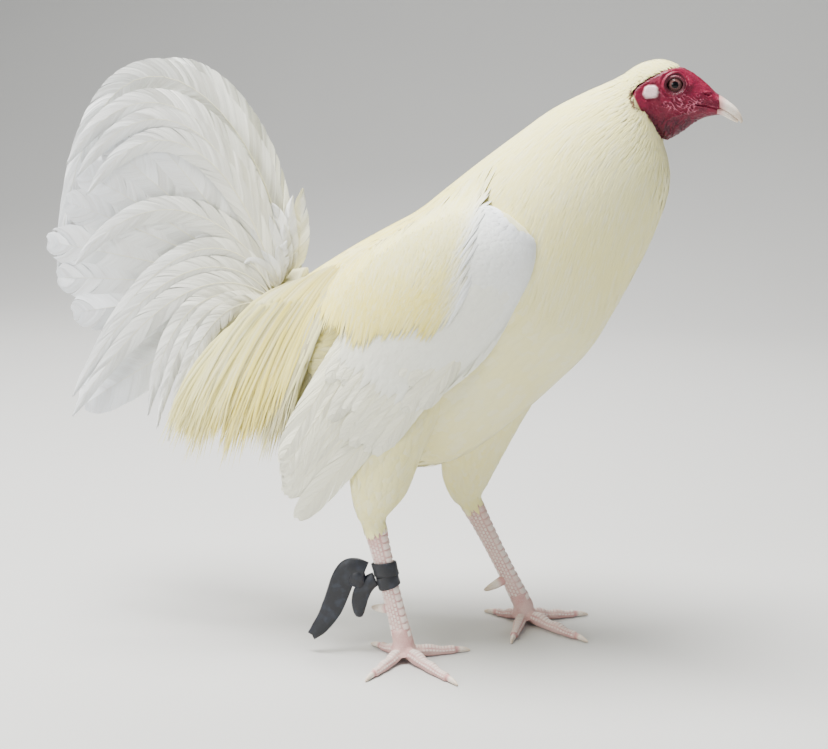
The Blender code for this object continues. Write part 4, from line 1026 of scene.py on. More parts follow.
def saddle_hackles(finish, name, side):
    """Long narrow hackles in two layers that hang from the saddle past the rump."""
    count, t = 1500, np.linspace(0, 1, 10)
    table = np.array(SADDLE, float)
    share, layer = strewn(count)
    behind = np.arange(count) < count * 0.12  # some hang deeper and farther forward, under the wing's edge
    share, depth = np.where(behind, -0.26 * share, share), np.where(behind, -1.5 - layer, layer)
    inner, outer = (mix(first, last, share[:, None, None]) for first, last in table)
    lines = mix(inner, outer, layer[:, None, None])
    lines[:, 3] += random.normal(0, (3.0, 7.0), (count, 2))
    lines[:, 3] += (lines[:, 3] - lines[:, 2]) * 0.45 * (noise(together(share * 22, layer), 1.0, 8) - 0.5)[:, None]
    lines[:, 1:3] += random.normal(0, 2.0, (count, 1, 2))
    path = bezier(lines.transpose(1, 0, 2), t[:, None])
    lift = 0.4 + 3.6 * depth + random.random(count) * 1.2
    start = lines[:, 0].T
    root = np.maximum(np.minimum(trunk_side(*start) - 1.5, saddle_sheet(*start)), 0.5)
    out = saddle_sheet(path[..., 0], path[..., 1]) + lift * smoothstep(0, 0.4, t)[:, None]
    out = mix(root, out, smoothstep(0, 0.3, t)[:, None]) + random.normal(0, 1.6, count) * (t**2)[:, None]
    points = together(path[..., 0], side * out, path[..., 1])
    normals = np.broadcast_to(unit(np.array((0.12, side, 0.28))), points.shape)
    width = 3.1 * (0.8 + 0.5 * random.random(count))
    form = np.interp(t, (0, 0.2, 0.5, 0.8, 1), (0.5, 0.9, 1.0, 0.66, 0.0))
    twist = 0.5 * (random.random(count) - 0.5)[None, :, None]
    sections = strips(points, normals, width, form, np.zeros((len(t), 1)), 0.4, twist)
    gold = np.clip(0.85 - 0.6 * smoothstep(0.5, 1.0, share) + 0.4 * (random.random(count) - 0.5), 0, 1)
    # The strands nearest the wing get gold below 0, which the finish paints dusky: painted shade under the wing's edge.
    gold = np.where(random.random(count) < smoothstep(0.16, 0.03, share), -0.75 * random.random(count), gold)
    return coat(f"saddle_{name}", sections, finish, gold, np.full(count, 0.1), np.abs(share), 0.5 * layer)


TAIL_ROOT = (-84.0, 290.0)
SPLAY_DEGREES = (4.0, 10.0)
MAIN_SICKLE = ((-78, 304), (-80, 450), (-234, 584), (-268, 296))
# The curves of further sickles and of the feathers that hang under them, each with its width.
SICKLES = (
    ((-82, 302), (-96, 420), (-180, 505), (-252, 394), 27),
    ((-83, 301), (-100, 408), (-172, 488), (-244, 384), 23),
    ((-84, 300), (-104, 392), (-170, 468), (-236, 370), 24),
    ((-86, 298), (-120, 366), (-190, 388), (-248, 312), 24),
    ((-86, 294), (-118, 360), (-190, 330), (-242, 220), 19),
    ((-86, 290), (-132, 344), (-200, 300), (-250, 204), 20),
    ((-86, 288), (-140, 328), (-202, 268), (-250, 188), 22),
)
HANGERS = (
    ((-86, 284), (-146, 312), (-176, 262), (-186, 190), 19),
    ((-85, 282), (-134, 306), (-168, 254), (-178, 180), 16),
    ((-84, 281), (-124, 300), (-158, 246), (-168, 170), 17),
)
FAN_TIPS = ((-190, 430), (-222, 414), (-245, 392), (-258, 366), (-275, 332), (-268, 302), (-256, 272), (-248, 194))
FAN_SAG = 4.0


def tail_sheet(x, z):
    """How far out the fan of the tail stands, as a tent that opens downwards."""
    away_x, away_z = x - TAIL_ROOT[0], z - TAIL_ROOT[1]
    turn = np.degrees(np.arctan2(away_z, away_x)) % 360
    splay = np.interp(turn, (95, 205), SPLAY_DEGREES)
    return 1.4 + np.hypot(away_x, away_z) * np.tan(np.radians(splay))


def fan_controls(tip):
    root, tip = np.array(TAIL_ROOT), np.array(tip, float)
    sag = unit(np.array((tip[1] - root[1], root[0] - tip[0]))) * FAN_SAG
    return [mix(root, tip, 0.05), mix(root, tip, 0.35) + sag, mix(root, tip, 0.7) + sag, tip]


def tail_vanes(side):
    vanes = [Vane(MAIN_SICKLE, 31, SICKLE_VANE, tail_sheet, 0.0, side, tilt=0.6, cup=1.4, gold=0.02, sweep=1.7)]
    fan = len(FAN_TIPS)
    for i, tip in enumerate(FAN_TIPS):
        vanes.append(Vane(fan_controls(tip), 40, ROUND_VANE, tail_sheet, fan - i + 0.2, side, cup=1.2, sweep=0.9))
    for i, (*controls, width) in enumerate(SICKLES):
        lift = fan + 1.4 + 0.8 * i
        vanes.append(Vane(controls, width, SICKLE_VANE, tail_sheet, lift, side, cup=1.6, curl=2.0, gold=0.1, sweep=1.8))
    for i, (*controls, width) in enumerate(HANGERS):
        vanes.append(Vane(controls, width, POINTED_VANE, tail_sheet, fan + 7 + i, side, cup=1.5, curl=2.5, gold=0.2))
    return vanes


COVERT_FIRST = np.array(((-78, 302), (-66, 332), (-72, 352), (-66, 372)), float)
COVERT_LAST = np.array(((-86, 286), (-130, 300), (-168, 290), (-196, 262)), float)


def tail_coverts(side):
    """The soft feathers that cover the root of the tail, shorter towards its front edge."""
    vanes = []
    for row, (count, reach, width, lift) in enumerate(((9, 1.0, 17, 8.0), (9, 0.72, 15, 10.0), (8, 0.48, 12, 12.0))):
        for i in range(count):
            share = (i + 0.5 * (row % 2)) / (count - 0.5)
            line = mix(COVERT_FIRST, COVERT_LAST, share)
            line = line[0] + (line - line[0]) * reach * (1 + 0.55 * math.sin(math.pi * share))
            line[1:] += random.normal(0, 3.0, (3, 2))
            vanes.append(
                Vane(
                    line, width * (0.85 + 0.3 * random.random()), POINTED_VANE, tail_sheet, lift + 0.5 * i / count,
                    side, cup=1.4, dip=3.0, curl=3.0 * random.random(), gold=0.16 + 0.16 * random.random(),
                )
            )
    return vanes


# Eyes, bill, legs, claws and spurs

# The sections of the bill's halves: top x and z, bottom x and z, half width.
BILL_UPPER = (
    (265.2, 453.2, 266.2, 443.4, 6.6), (267.0, 453.2, 267.6, 443.0, 7.3), (273.0, 449.2, 273.2, 440.6, 6.1),
    (279.0, 444.4, 278.2, 437.2, 4.3), (283.0, 438.8, 281.6, 434.4, 2.6), (284.6, 433.8, 283.2, 432.4, 0.9),
)
BILL_LOWER = (
    (265.2, 444.0, 265.2, 439.0, 6.3), (267.6, 443.6, 267.6, 438.9, 6.6), (273.2, 441.2, 273.4, 436, 5.2),
    (278.0, 437.8, 278.0, 433.7, 3.3), (281.2, 435.0, 280.8, 432.9, 1.2),
)


def bill_half(name, rows, finish, keel, edge):
    """One half of the bill: a rounded loft with a blunt ridge, squarer where it meets the other half.

    Edge is -1 where the meeting edge is its lower one and 1 where it is its upper one.
    """
    stations = np.linspace(0, len(rows) - 1, 60)
    middle, up, half, c, s = loft(rows, stations, ring_angles(56))
    spot = middle + up * c[..., None]
    rounded = np.sign(s) * np.abs(s) ** np.where(c * edge > 0, 0.45, 0.95)
    y = half[..., 0] * rounded * (1 - keel * smoothstep(0.5, 1.0, c))
    share = (stations / (len(rows) - 1))[:, None]
    return tube_object(together(spot[..., 0], y, spot[..., 1]), name, finish, together(share, 0 * y, 0, 1))


def eyeball(name, side, finish):
    """An eyeball whose cornea bulges over the iris."""
    theta, phi = np.linspace(0.02, math.pi * 0.8, 40)[:, None], ring_angles(64)
    radius = EYE_RADIUS - 0.15 + 0.35 * bump(theta, 0, 0.75)
    away = radius * np.sin(theta)
    out = side * (EYE_SIDE + radius * np.cos(theta))
    rings = together(EYE[0] + away * np.cos(phi), out, EYE[1] + away * np.sin(phi))
    return tube_object(rings, f"eyeball_{name}", finish, together(away / EYE_RADIUS, 0, noise(rings, 0.7, 31), 1))


def lids(name, side, finish):
    """The upper and lower lid: a thick rim round the eye, drawn out a little to the front and back."""
    a, b = ring_angles(120)[:, None], ring_angles(18)
    long = IRIS_RADIUS + 0.75 + 0.5 * np.cos(a) ** 2
    high = IRIS_RADIUS + 0.35 + 0.15 * np.sin(a)
    wrinkle = 0.12 * np.sin(a * 34 + 2 * np.sin(3 * a))
    thick = 0.85 + 0.25 * np.maximum(np.sin(a), 0) + wrinkle * (np.cos(b) > 0)
    bulge = np.sqrt(EYE_RADIUS**2 - (IRIS_RADIUS + 0.3) ** 2)
    rings = together(
        EYE[0] + (long + thick * np.cos(b)) * np.cos(a), side * (EYE_SIDE + bulge + 1.15 + 1.25 * thick * np.sin(b)),
        EYE[1] + (high + thick * np.cos(b)) * np.sin(a),
    )
    inner = smoothstep(0.2, -0.9, np.cos(b))
    detail = together(1, np.clip(0.5 - wrinkle * 3, 0, 1), 0, 0.3 + 0.12 * (1 - inner))
    points = rings.reshape(-1, 3)
    faces = outward(points, wrapped_faces(*rings.shape[:2]))
    return mesh_object(f"lids_{name}", points, faces, finish, detail=detail.reshape(-1, 4))


# The legs' joints: x, z and how far they are from the middle plane.
HOCK = {"right": (6.5, 114.2, 51), "left": (68.4, 104.8, 51)}
ANKLE = {"right": (31, 15, 52), "left": (115, 15, 52)}
SHANK_RADII = (9.6, 8.4, 7.6, 7.4, 7.6, 8.6)
SHANK_NARROW = 0.82
# Each toe's heading in degrees, its length and its radius at the root.
TOES = {
    "right": {"toe_1": (146, 26, 5.0), "toe_2": (26, 44, 5.6), "toe_3": (-42, 60, 6.2), "toe_4": (-108, 46, 5.4)},
    "left": {"toe_1": (160, 26, 5.0), "toe_2": (-92, 44, 5.6), "toe_3": (-34, 60, 6.2), "toe_4": (24, 46, 5.4)},
}
TOE_TIP_RADIUS = 3.1
PAD_RADIUS = 10.5
CLAW_LENGTH, CLAW_RADIUS = 13.5, 2.7
SPUR_LENGTH, SPUR_RADIUS, SPUR_AT = 23, 4.4, 0.72
SOLE = 0.05  # the skin's lowest height
UPWARDS, FORWARDS = np.array((0.0, 0.0, 1.0)), np.array((1.0, 0.0, 0.0))
PLATE_GRID, PLATE_RISE = 7, 0.75
PLATE_MIDDLE = PLATE_GRID // 2


def shank_line(name, side):
    return [np.array((x, side * y, z)) for x, z, y in (HOCK[name], ANKLE[name])]


def shank_frame(name, side):
    """The shank's own axes: down it, to its front, and beside it."""
    hock, ankle = shank_line(name, side)
    down = unit(ankle - hock)
    front = unit(np.cross(np.array((0.0, 1.0, 0.0)), down))
    front = front if front[0] > 0 else -front
    return down, front, np.cross(down, front)


class Limb:
    """A round limb along a path, with its own radius at each point and its own front."""

    def __init__(self, path, radii, front, narrow=1.0, floor=True):
        self.path, self.radii = np.asarray(path, float), np.asarray(radii, float)
        self.narrow, self.floor = narrow, floor
        ahead = unit(np.gradient(self.path, axis=0))
        self.front = unit(front - (ahead * front).sum(1, keepdims=True) * ahead)
        self.beside = np.cross(ahead, self.front)
        self.length = np.linalg.norm(np.diff(self.path, axis=0), axis=1).sum()

    def place(self, share, angle, grow=0.0):
        """Points at shares of the length and angles from the front, so far out of the surface."""
        at = np.asarray(share) * (len(self.path) - 1)
        i = np.clip(at.astype(int), 0, len(self.path) - 2)
        t = (at - i)[..., None]
        centre = mix(self.path[i], self.path[i + 1], t)
        front, beside = mix(self.front[i], self.front[i + 1], t), mix(self.beside[i], self.beside[i + 1], t)
        radius = (mix(self.radii[i], self.radii[i + 1], t[..., 0]) + grow)[..., None]
        point = centre + radius * (np.cos(angle)[..., None] * front + self.narrow * np.sin(angle)[..., None] * beside)
        if self.floor:
            point[..., 2] = np.maximum(point[..., 2], SOLE)
        return point

    def rings(self, count, around):
        return self.place(*np.meshgrid(np.linspace(0, 1, count), ring_angles(around), indexing="ij"))


def shank_limb(name, side):
    hock, ankle = shank_line(name, side)
    shares = np.linspace(0, 1, 24)
    radii = spline([(r,) for r in SHANK_RADII], shares * (len(SHANK_RADII) - 1))[:, 0]
    return Limb(hock + (ankle - hock) * shares[:, None], radii * 0.97, shank_frame(name, side)[1], SHANK_NARROW)


def toe_way(name, toe):
    turn = math.radians(TOES[name][toe][0])
    return np.array((math.cos(turn), math.sin(turn), 0.0))


def toe_limb(name, side, toe):
    _, length, radius = TOES[name][toe]
    x, y, _ = shank_line(name, side)[1]
    shares = np.linspace(0, 1, 28)
    joints = 1 + 0.09 * np.cos(shares * 2 * math.pi * (2 if toe in ("toe_1", "toe_2") else 3))
    radii = (TOE_TIP_RADIUS + (radius - TOE_TIP_RADIUS) * (1 - shares) ** 0.8) * joints
    height = 0.78 * radii + 4.0 * (1 - shares) ** 3
    path = (x, y, 0.0) + np.outer(shares * length, toe_way(name, toe)) + np.outer(height, UPWARDS)
    return Limb(path, radii * 0.97, UPWARDS)


def web(name, side, toe_a, toe_b):
    """The skin between the roots of two front toes."""
    limbs = [toe_limb(name, side, toe) for toe in (toe_a, toe_b)]
    share, k = np.linspace(0.05, 1, 10)[:, None], np.linspace(0, 1, 9)
    reach = 0.05 + share * (0.36 - 0.15 * np.sin(math.pi * k))
    rows = mix(*(limb.place(reach, 0 * reach) for limb in limbs), k[:, None]) * (1, 1, 0.5) + (0, 0, 1.0)
    lower = rows - (0, 0, 1.5)
    lower[..., 2] = np.maximum(lower[..., 2], SOLE)
    return tube_object(np.concatenate([rows + (0, 0, 1.3), lower[:, ::-1]], axis=1), "web")


def joined(base, others):
    """Several meshes made one object."""
    with bpy.context.temp_override(active_object=base, selected_editable_objects=[base, *others], object=base):
        bpy.ops.object.join()
    return base


def applied(obj, kind, **settings):
    """The object with one modifier made part of its mesh."""
    modifier = obj.modifiers.new(kind.lower(), kind)
    for key, value in settings.items():
        setattr(modifier, key, value)
    bpy.context.view_layer.update()
    mesh = bpy.data.meshes.new_from_object(obj.evaluated_get(bpy.context.evaluated_depsgraph_get()))
    obj.modifiers.clear()
    old = obj.data
    obj.data = mesh
    bpy.data.meshes.remove(old)
    return obj


def leg_skin(name, side, finish):
    """Shank, foot and toes as one skin."""
    shank = shank_limb(name, side)
    hock, ankle = shank_line(name, side)
    core = tube_object(shank.rings(40, 40), f"leg_{name}", finish)
    pad_path = [mix(hock, ankle, 0.9), mix(hock, ankle, 1.0), (ankle[0], ankle[1], 7.5), (ankle[0], ankle[1], 3.6)]
    pad = Limb(pad_path, (7.8, 8.6, PAD_RADIUS * 0.97, PAD_RADIUS * 0.9), FORWARDS)
    pieces = [tube_object(pad.rings(12, 32), "pad")]
    pieces += [tube_object(toe_limb(name, side, toe).rings(40, 24), toe) for toe in TOES[name]]
    front = sorted((toe for toe in TOES[name] if toe != "toe_1"), key=lambda toe: TOES[name][toe][0])
    pieces += [web(name, side, a, b) for a, b in zip(front, front[1:])]
    joined(core, pieces)
    applied(core, "REMESH", mode="VOXEL", voxel_size=0.85 * MM, use_smooth_shade=True)
    applied(core, "SMOOTH", factor=0.6, iterations=5)
    core.data.polygons.foreach_set("use_smooth", np.full(len(core.data.polygons), True))
    return core


def plates_on(name, limb, plates, finish):
    """Raised scales on a limb. A plate is its first and last share and angle and its own rise."""
    p, q = np.meshgrid(*2 * [np.linspace(-1, 1, PLATE_GRID)], indexing="ij")
    corner = np.maximum(np.abs(p), np.abs(q))
    share_a, share_b, angle_a, angle_b, own = np.array(plates, float).T[..., None, None]
    share = mix(share_a, share_b, (p + 1) / 2 + 0.10 * (1 - q**2))
    angle = mix(angle_a, angle_b, (q * (1 - 0.10 * p**2) + 1) / 2)
    dome = (1 - 0.35 * (p**4 + q**4) / 2) * (0.65 + 0.35 * (p + 1) / 2)
    points = limb.place(np.clip(share, 0, 1), angle, np.where(corner > 0.99, -0.5, PLATE_RISE * own * dome))
    index = np.arange(points[..., 0].size).reshape(angle.shape)
    faces = np.stack([index[:, :-1, :-1], index[:, 1:, :-1], index[:, 1:, 1:], index[:, :-1, 1:]], -1).reshape(-1, 4)
    m = PLATE_MIDDLE
    out = np.cross(points[0, m, m] - points[0, m - 1, m], points[0, m, m + 1] - points[0, m, m])
    centre, edge = (limb.place(np.array(0.5), angle[0, 0, 0], grow) for grow in (0.0, 5.0))
    if np.dot(out, edge - centre) < 0:
        faces = faces[:, ::-1]
    reads = together(random.random(len(plates))[:, None, None], corner, 0, 1)
    return mesh_object(name, points.reshape(-1, 3), faces, finish, reads.reshape(-1, 4))


def plate_row(start, end, fill, first, last, rise):
    """One plate between two shares, so much of them filled, with its angles in degrees."""
    return start, start + (end - start) * fill, math.radians(first), math.radians(last), rise


# Rows of broad scutes down the shank: first and last angle in degrees, how many, shift and rise.
SCUTES = (
    (-64, 2, 15, 0.0, 1.0), (2, 64, 15, 0.45, 1.0), (124, 181, 17, 0.0, 0.8), (181, 238, 17, 0.45, 0.8),
)
SMALL_SCALES, SMALL_COLUMNS = 26, 3
SCALED_FROM, SCALED_LENGTH = 0.02, 0.95  # of the shank
TOE_PLATE = 3.6  # how far it is from one plate to the next


def leg_scales(name, side, finish):
    """Two rows of broad scutes down the shank's front, two behind, small scales between, a row on each toe."""
    plates = []
    for first, last, count, shift, rise in SCUTES:
        step = SCALED_LENGTH / (count + 0.5)
        for i in range(count):
            top = SCALED_FROM + step * (i + shift)
            plates.append(plate_row(top, top + step, 0.97, first, last, rise))
    for low, high in ((64, 124), (238, 296)):
        step = SCALED_LENGTH / (SMALL_SCALES + 0.5)
        for column in range(SMALL_COLUMNS):
            first, last = (mix(low, high, (column + k) / SMALL_COLUMNS) for k in (0.04, 0.96))
            for i in range(SMALL_SCALES):
                top = SCALED_FROM + step * (i + 0.5 * (column % 2))
                plates.append(plate_row(top, top + step, 0.94, first, last, 0.5))
    pieces = [plates_on(f"scales_{name}", shank_limb(name, side), plates, finish)]
    for toe in TOES[name]:
        limb = toe_limb(name, side, toe)
        count, start = int(limb.length / TOE_PLATE), 0.2 if toe != "toe_1" else 0.3
        step, plates = (0.98 - start) / count, []
        for i in range(count):
            top = start + step * i
            for first, last, rise in ((-52, 52, 0.8), (56, 84, 0.4), (-84, -56, 0.4)):
                plates.append(plate_row(top, top + step, 0.96, first, last, rise))
        pieces.append(plates_on(f"{toe}_scales", limb, plates, finish))
    return joined(pieces[0], pieces[1:])


def horn_spike(name, start, way, length, radius, droop, finish, floor=True):
    """A curved, tapering horn: a claw or a spur."""
    shares = np.linspace(0, 1, 26)
    path = start + np.outer(shares * length, way) + np.outer(droop(shares), UPWARDS)
    radii = radius * np.sqrt(np.clip(1 - shares**1.7, 0.004, 1))
    rings = Limb(path, radii, UPWARDS, 0.8, floor).rings(26, 28)
    return tube_object(rings, name, finish, together(shares[:, None] + 0 * rings[..., 0], 0, 0, 1))


def claw(name, side, toe, finish):
    ahead = toe_way(name, toe)
    start = toe_limb(name, side, toe).path[-1] - ahead * 1.5 + (0, 0, 0.3)
    return horn_spike(
        f"claw_{name}_{toe[-1]}_horn", start, ahead, CLAW_LENGTH + 1.3, CLAW_RADIUS,
        lambda t: 3.0 * t * (1 - t) - 1.9 * t, finish,
    )


def spur(name, side, finish):
    hock, ankle = shank_line(name, side)
    down, front, _ = shank_frame(name, side)
    way = unit(-0.86 * front + 0.42 * np.array((0.0, -side, 0.0)) + 0.1 * down)
    return horn_spike(
        f"spur_{name}_horn", mix(hock, ankle, SPUR_AT) + way * 3.5, way, SPUR_LENGTH + 0.2, SPUR_RADIUS,
        lambda t: 3.0 * t * t, finish, floor=False,
    )


# The skin and the strap

def skin_marks(points):
    """What the feathered finish reads on the skin, the same marks as the coat's over it."""
    turn = 1 - np.abs(ring_angles(points.shape[1]) / math.pi - 1)
    x, z = points[..., 0], points[..., 2]
    return together(gold_tint(x, z, turn), 0.3, 0.2, cool_and_shade_tint(x, z))


def drawn_in(rings, depth):
    """Rings drawn in towards their middles."""
    return rings - unit(rings - rings.mean(1, keepdims=True)) * depth


def closed_loft(name, rings, finish, gold=0.2):
    marks = together(gold + 0 * rings[..., 0], 0.3, 0.2, 0.4)
    return tube_object(rings, name, finish, plume=marks, detail=0 * marks)


def fused(base, others):
    """One closed skin from bodies that run into each other."""
    group = bpy.data.collections.new(f"{base.name}_parts")
    for other in others:
        bpy.context.scene.collection.objects.unlink(other)
        group.objects.link(other)
    applied(base, "BOOLEAN", operation="UNION", solver="EXACT", operand_type="COLLECTION", collection=group)
    for other in others:
        bpy.data.objects.remove(other)
    bpy.data.collections.remove(group)
    return base


def body_skin(finish):
    """One closed skin over the head, trunk and thighs, finest on the face."""
    head, face = skin_head()
    angles, stations = ring_angles(TRUNK_AROUND), np.linspace(SEAM_STATION, VENT, 96)[1:]
    trunk = body_grid(stations, angles, -coat_inset(stations, body_grid(stations, angles)))
    first, size = head[..., 0].size, trunk[..., 0].size
    points = np.concatenate([head.reshape(-1, 3), trunk.reshape(-1, 3), head[:1].mean(1), trunk[-1:].mean(1)])
    plume = np.concatenate([skin_marks(part).reshape(-1, 4) for part in (head, trunk)])
    plume = np.concatenate([plume, plume[:1], plume[-1:]])
    face = np.concatenate([face.reshape(-1, 4), np.zeros((size + 2, 4))])
    head_index = np.arange(first).reshape(head.shape[:2])
    trunk_index = first + np.arange(size).reshape(trunk.shape[:2])
    ratio = HEAD_AROUND // TRUNK_AROUND  # the head's rings have so many points for one of the trunk's
    upper, lower = head_index[-1], trunk_index[0][(np.arange(HEAD_AROUND) + ratio // 2) // ratio % TRUNK_AROUND]
    upper_after, lower_after = np.roll(upper, -1), np.roll(lower, -1)
    faces = [
        band_faces(head_index), band_faces(trunk_index), together(upper, upper_after, lower),
        together(upper_after, lower_after, lower)[lower != lower_after],
        together(first + size, np.roll(head_index[0], -1), head_index[0]),
        together(first + size + 1, trunk_index[-1], np.roll(trunk_index[-1], -1)),
    ]
    skin = mesh_object("skin", points, outward(points, np.concatenate(faces)), finish, plume, detail=face)
    legs = []
    for name, side in SIDES:
        rows = thigh_rows(name, side)
        depth = np.interp(np.linspace(0, 1, 50), (0, 0.8, 1), (3.0, 1.6, 0.3))[:, None, None]
        rings = leg_rings(rows, side, np.linspace(0, len(rows) - 1.02, 50), 64)
        legs.append(closed_loft(f"thigh_{name}_skin", drawn_in(rings, depth), finish))
    return fused(skin, legs)


def wing_core(finish, name, side):
    """The wing's arm under its coverts."""
    return closed_loft(f"wing_arm_{name}", drawn_in(wing_arm_rings(side), 1.6), finish, 0.12)


def tail_core(finish):
    """The rump's stump, from which the tail springs."""
    share, angle = np.linspace(0, 1, 14)[:, None], ring_angles(40)
    x, z, high, half = (mix(*ends, share) for ends in ((-66.0, -100.0), (288.0, 298.0), (24.0, 8.0), (17.0, 3.0)))
    rings = together(x + high * 0.2 * np.cos(angle), half * np.sin(angle), z + high * np.cos(angle))
    return closed_loft("tail_stump", rings, finish)


STRAP_TOP, STRAP_BOTTOM = 0.335, 0.545  # down the shank
STRAP_PROFILE = (
    (0.0, 0.0), (0.04, 0.9), (0.12, 1.15), (0.5, 1.0), (0.88, 1.15), (0.96, 0.9), (1.0, 0.0), (0.96, -1.0), (0.5, -1.0),
    (0.04, -1.0),
)
STRAP_THICKNESS = 2.0
STRAP_SIDE = 53.0
STRAP_FOLD = ((0, 73), (-26, 84), (-14, 46), (-45, 15))
STRAP_FOLD_WIDTH = 19.0
STRAP_LOBE = ((8, 66), (-4, 60), (-7, 48), (-6, 33))
STRAP_LOBE_WIDTH = 14.0
STRAP_KNOT, STRAP_KNOT_SIZE = (-7.0, 67.0), (7.4, 4.5, 8.9)


def strap_band(finish):
    """Two turns of flat strap round the near shank, the upper over the lower."""
    limb, angle, turns = shank_limb("right", -1), ring_angles(96), []
    for top, bottom, lift, slant in ((STRAP_TOP, 0.452, 1.9, 0.012), (0.432, STRAP_BOTTOM, 1.2, -0.010)):
        rows = []
        for share, rise in STRAP_PROFILE:
            down = mix(top, bottom, share) + slant * np.cos(angle + 0.7)
            rows.append(limb.place(down, angle, lift + rise * 0.9 + 0.12 * np.sin(5 * angle + 9 * share)))
        rings = np.array(rows).transpose(1, 0, 2)
        points = rings.reshape(-1, 3)
        faces = outward(points, wrapped_faces(*rings.shape[:2]))
        turns.append(mesh_object("strap_band_leather", points, faces, finish))
    return joined(turns[0], turns[1:])


def strap_leaf(name, controls, width, out, finish, curl=0.0, notch=0.0):
    """A hanging end of the strap: a thick ribbon along a curve, cut round or forked at its end."""
    t, s = np.linspace(0, 1, 48)[:, None], np.linspace(-1, 1, 15)
    centre = bezier(controls, t)
    ahead = unit(np.gradient(centre, axis=0))
    across = together(-ahead[..., 1], ahead[..., 0])
    half = width / 2 * np.interp(t, (0, 0.25, 0.5, 0.75, 0.93, 1), (0.82, 0.96, 1.0, 0.92, 0.66, 0.42))
    spot = centre + (s * half)[..., None] * across + ahead * (notch * (np.abs(s) - 0.5) * t**6)[..., None]
    side_out = out + 1.3 * (1 - s * s) + curl * t**2 + 0.5 * np.sin(7 * t + 2 * s)
    edge = STRAP_THICKNESS / 2 * (1 - 0.55 * np.abs(s) ** 6)
    upper, lower = (together(spot[..., 0], -(side_out + way * edge), spot[..., 1]) for way in (1, -1))
    return tube_object(np.concatenate([upper, lower[:, ::-1]], axis=1), name, finish)


def strap_knot(finish):
    """The turn of strap that holds the hanging ends."""
    theta, phi = np.linspace(0.05, math.pi - 0.05, 30)[:, None], ring_angles(40)
    ball = together(np.sin(theta) * np.cos(phi), np.sin(theta) * np.sin(phi), np.cos(theta))
    fold = 1 + 0.06 * np.sin(3 * theta + 2 * phi)
    middle = (STRAP_KNOT[0], -STRAP_SIDE, STRAP_KNOT[1])
    return tube_object(middle + STRAP_KNOT_SIZE * ball * fold[..., None], "strap_knot", finish)


def strap_ends(finish):
    fold = strap_leaf("strap_fold", STRAP_FOLD, STRAP_FOLD_WIDTH, STRAP_SIDE + 0.9, finish, curl=0.8, notch=3.0)
    lobe = strap_leaf("strap_lobe", STRAP_LOBE, STRAP_LOBE_WIDTH, STRAP_SIDE - 1.6, finish)
    return joined(fold, [lobe, strap_knot(finish)])


# Finishes

class Shade:
    """A number or colour coming out of a shader node, which can be reckoned with."""

    def __init__(self, tree, socket):
        self.tree, self.socket = tree, socket

    def math(self, operation, *values, clamp=False):
        return node(self.tree, "ShaderNodeMath", {"operation": operation, "use_clamp": clamp}, dict(enumerate(values)))

    def __add__(self, other):
        return self.math("ADD", self, other)

    def __sub__(self, other):
        return self.math("SUBTRACT", self, other)

    def __rsub__(self, other):
        return self.math("SUBTRACT", other, self)

    def __mul__(self, other):
        return self.math("MULTIPLY", self, other)

    __radd__, __rmul__ = __add__, __mul__

    def held(self):
        """The number kept from 0 to 1."""
        return self.math("ADD", self, 0.0, clamp=True)

    def step(self, low, high, first=0.0, last=1.0):
        """A smooth rise from first to last while the number goes from low to high."""
        return node(
            self.tree, "ShaderNodeMapRange", {"interpolation_type": "SMOOTHSTEP"},
            {"Value": self, "From Min": low, "From Max": high, "To Min": first, "To Max": last}, "Result",
        )


def node(tree, kind, settings=None, values=None, output=0):
    """A shader node with its settings, socket values and links, as a Shade of one output."""
    made = tree.nodes.new(kind)
    for key, value in (settings or {}).items():
        setattr(made, key, value)
    for key, value in (values or {}).items():
        if isinstance(value, Shade):
            tree.links.new(value.socket, made.inputs[key])
        else:
            made.inputs[key].default_value = value
    return Shade(tree, made.outputs[output])


def blend(share, first, second):
    """A colour between two others."""
    tree = share.tree
    first, second = ((*c, 1.0) if isinstance(c, tuple) else c for c in (first, second))
    return node(tree, "ShaderNodeMix", {"data_type": "RGBA"}, {"Factor": share, 6: first, 7: second}, 2)


class Finish:
    """A material whose Principled shader reads numbers kept on the mesh."""

    def __init__(self, name, **constants):
        self.material = bpy.data.materials.new(name)
        self.material.use_nodes = True
        self.tree = self.material.node_tree
        self.shader = next(n for n in self.tree.nodes if n.type == "BSDF_PRINCIPLED")
        for key, value in constants.items():
            self.shader.inputs[key.replace("_", " ")].default_value = value

    def read(self, name):
        """The four numbers of an attribute."""
        colour = node(self.tree, "ShaderNodeAttribute", {"attribute_name": name}, {}, "Color")
        parts = node(self.tree, "ShaderNodeSeparateColor", {}, {"Color": colour}).socket.node
        alpha = Shade(self.tree, colour.socket.node.outputs["Alpha"])
        return [Shade(self.tree, out) for out in parts.outputs] + [alpha]

    def place(self, size=1.0):
        """A place in the object, counted in lumps of that many millimetres."""
        spot = node(self.tree, "ShaderNodeTexCoord", {}, {}, "Object")
        return node(self.tree, "ShaderNodeVectorMath", {"operation": "SCALE"}, {0: spot, "Scale": 1000 / size})

    def height(self):
        """The height over the floor in millimetres."""
        return node(self.tree, "ShaderNodeSeparateXYZ", {}, {0: self.place()}, 2)

    def clouds(self, place, scale, detail):
        return node(self.tree, "ShaderNodeTexNoise", {}, {"Vector": place, "Scale": scale, "Detail": detail})

    def grain(self, size, detail=2.0):
        """Lumps of that many millimetres."""
        return self.clouds(self.place(size), 1.0, detail)

    def set(self, **links):
        for key, shade in links.items():
            self.tree.links.new(shade.socket, self.shader.inputs[key.replace("_", " ")])
        return self.material

    def relief(self, height, depth, strength):
        """A bump of that many millimetres in the Normal."""
        bumped = node(
            self.tree, "ShaderNodeBump", {}, {"Height": height, "Distance": depth * MM, "Strength": strength}, "Normal",
        )
        self.tree.links.new(bumped.socket, self.shader.inputs["Normal"])


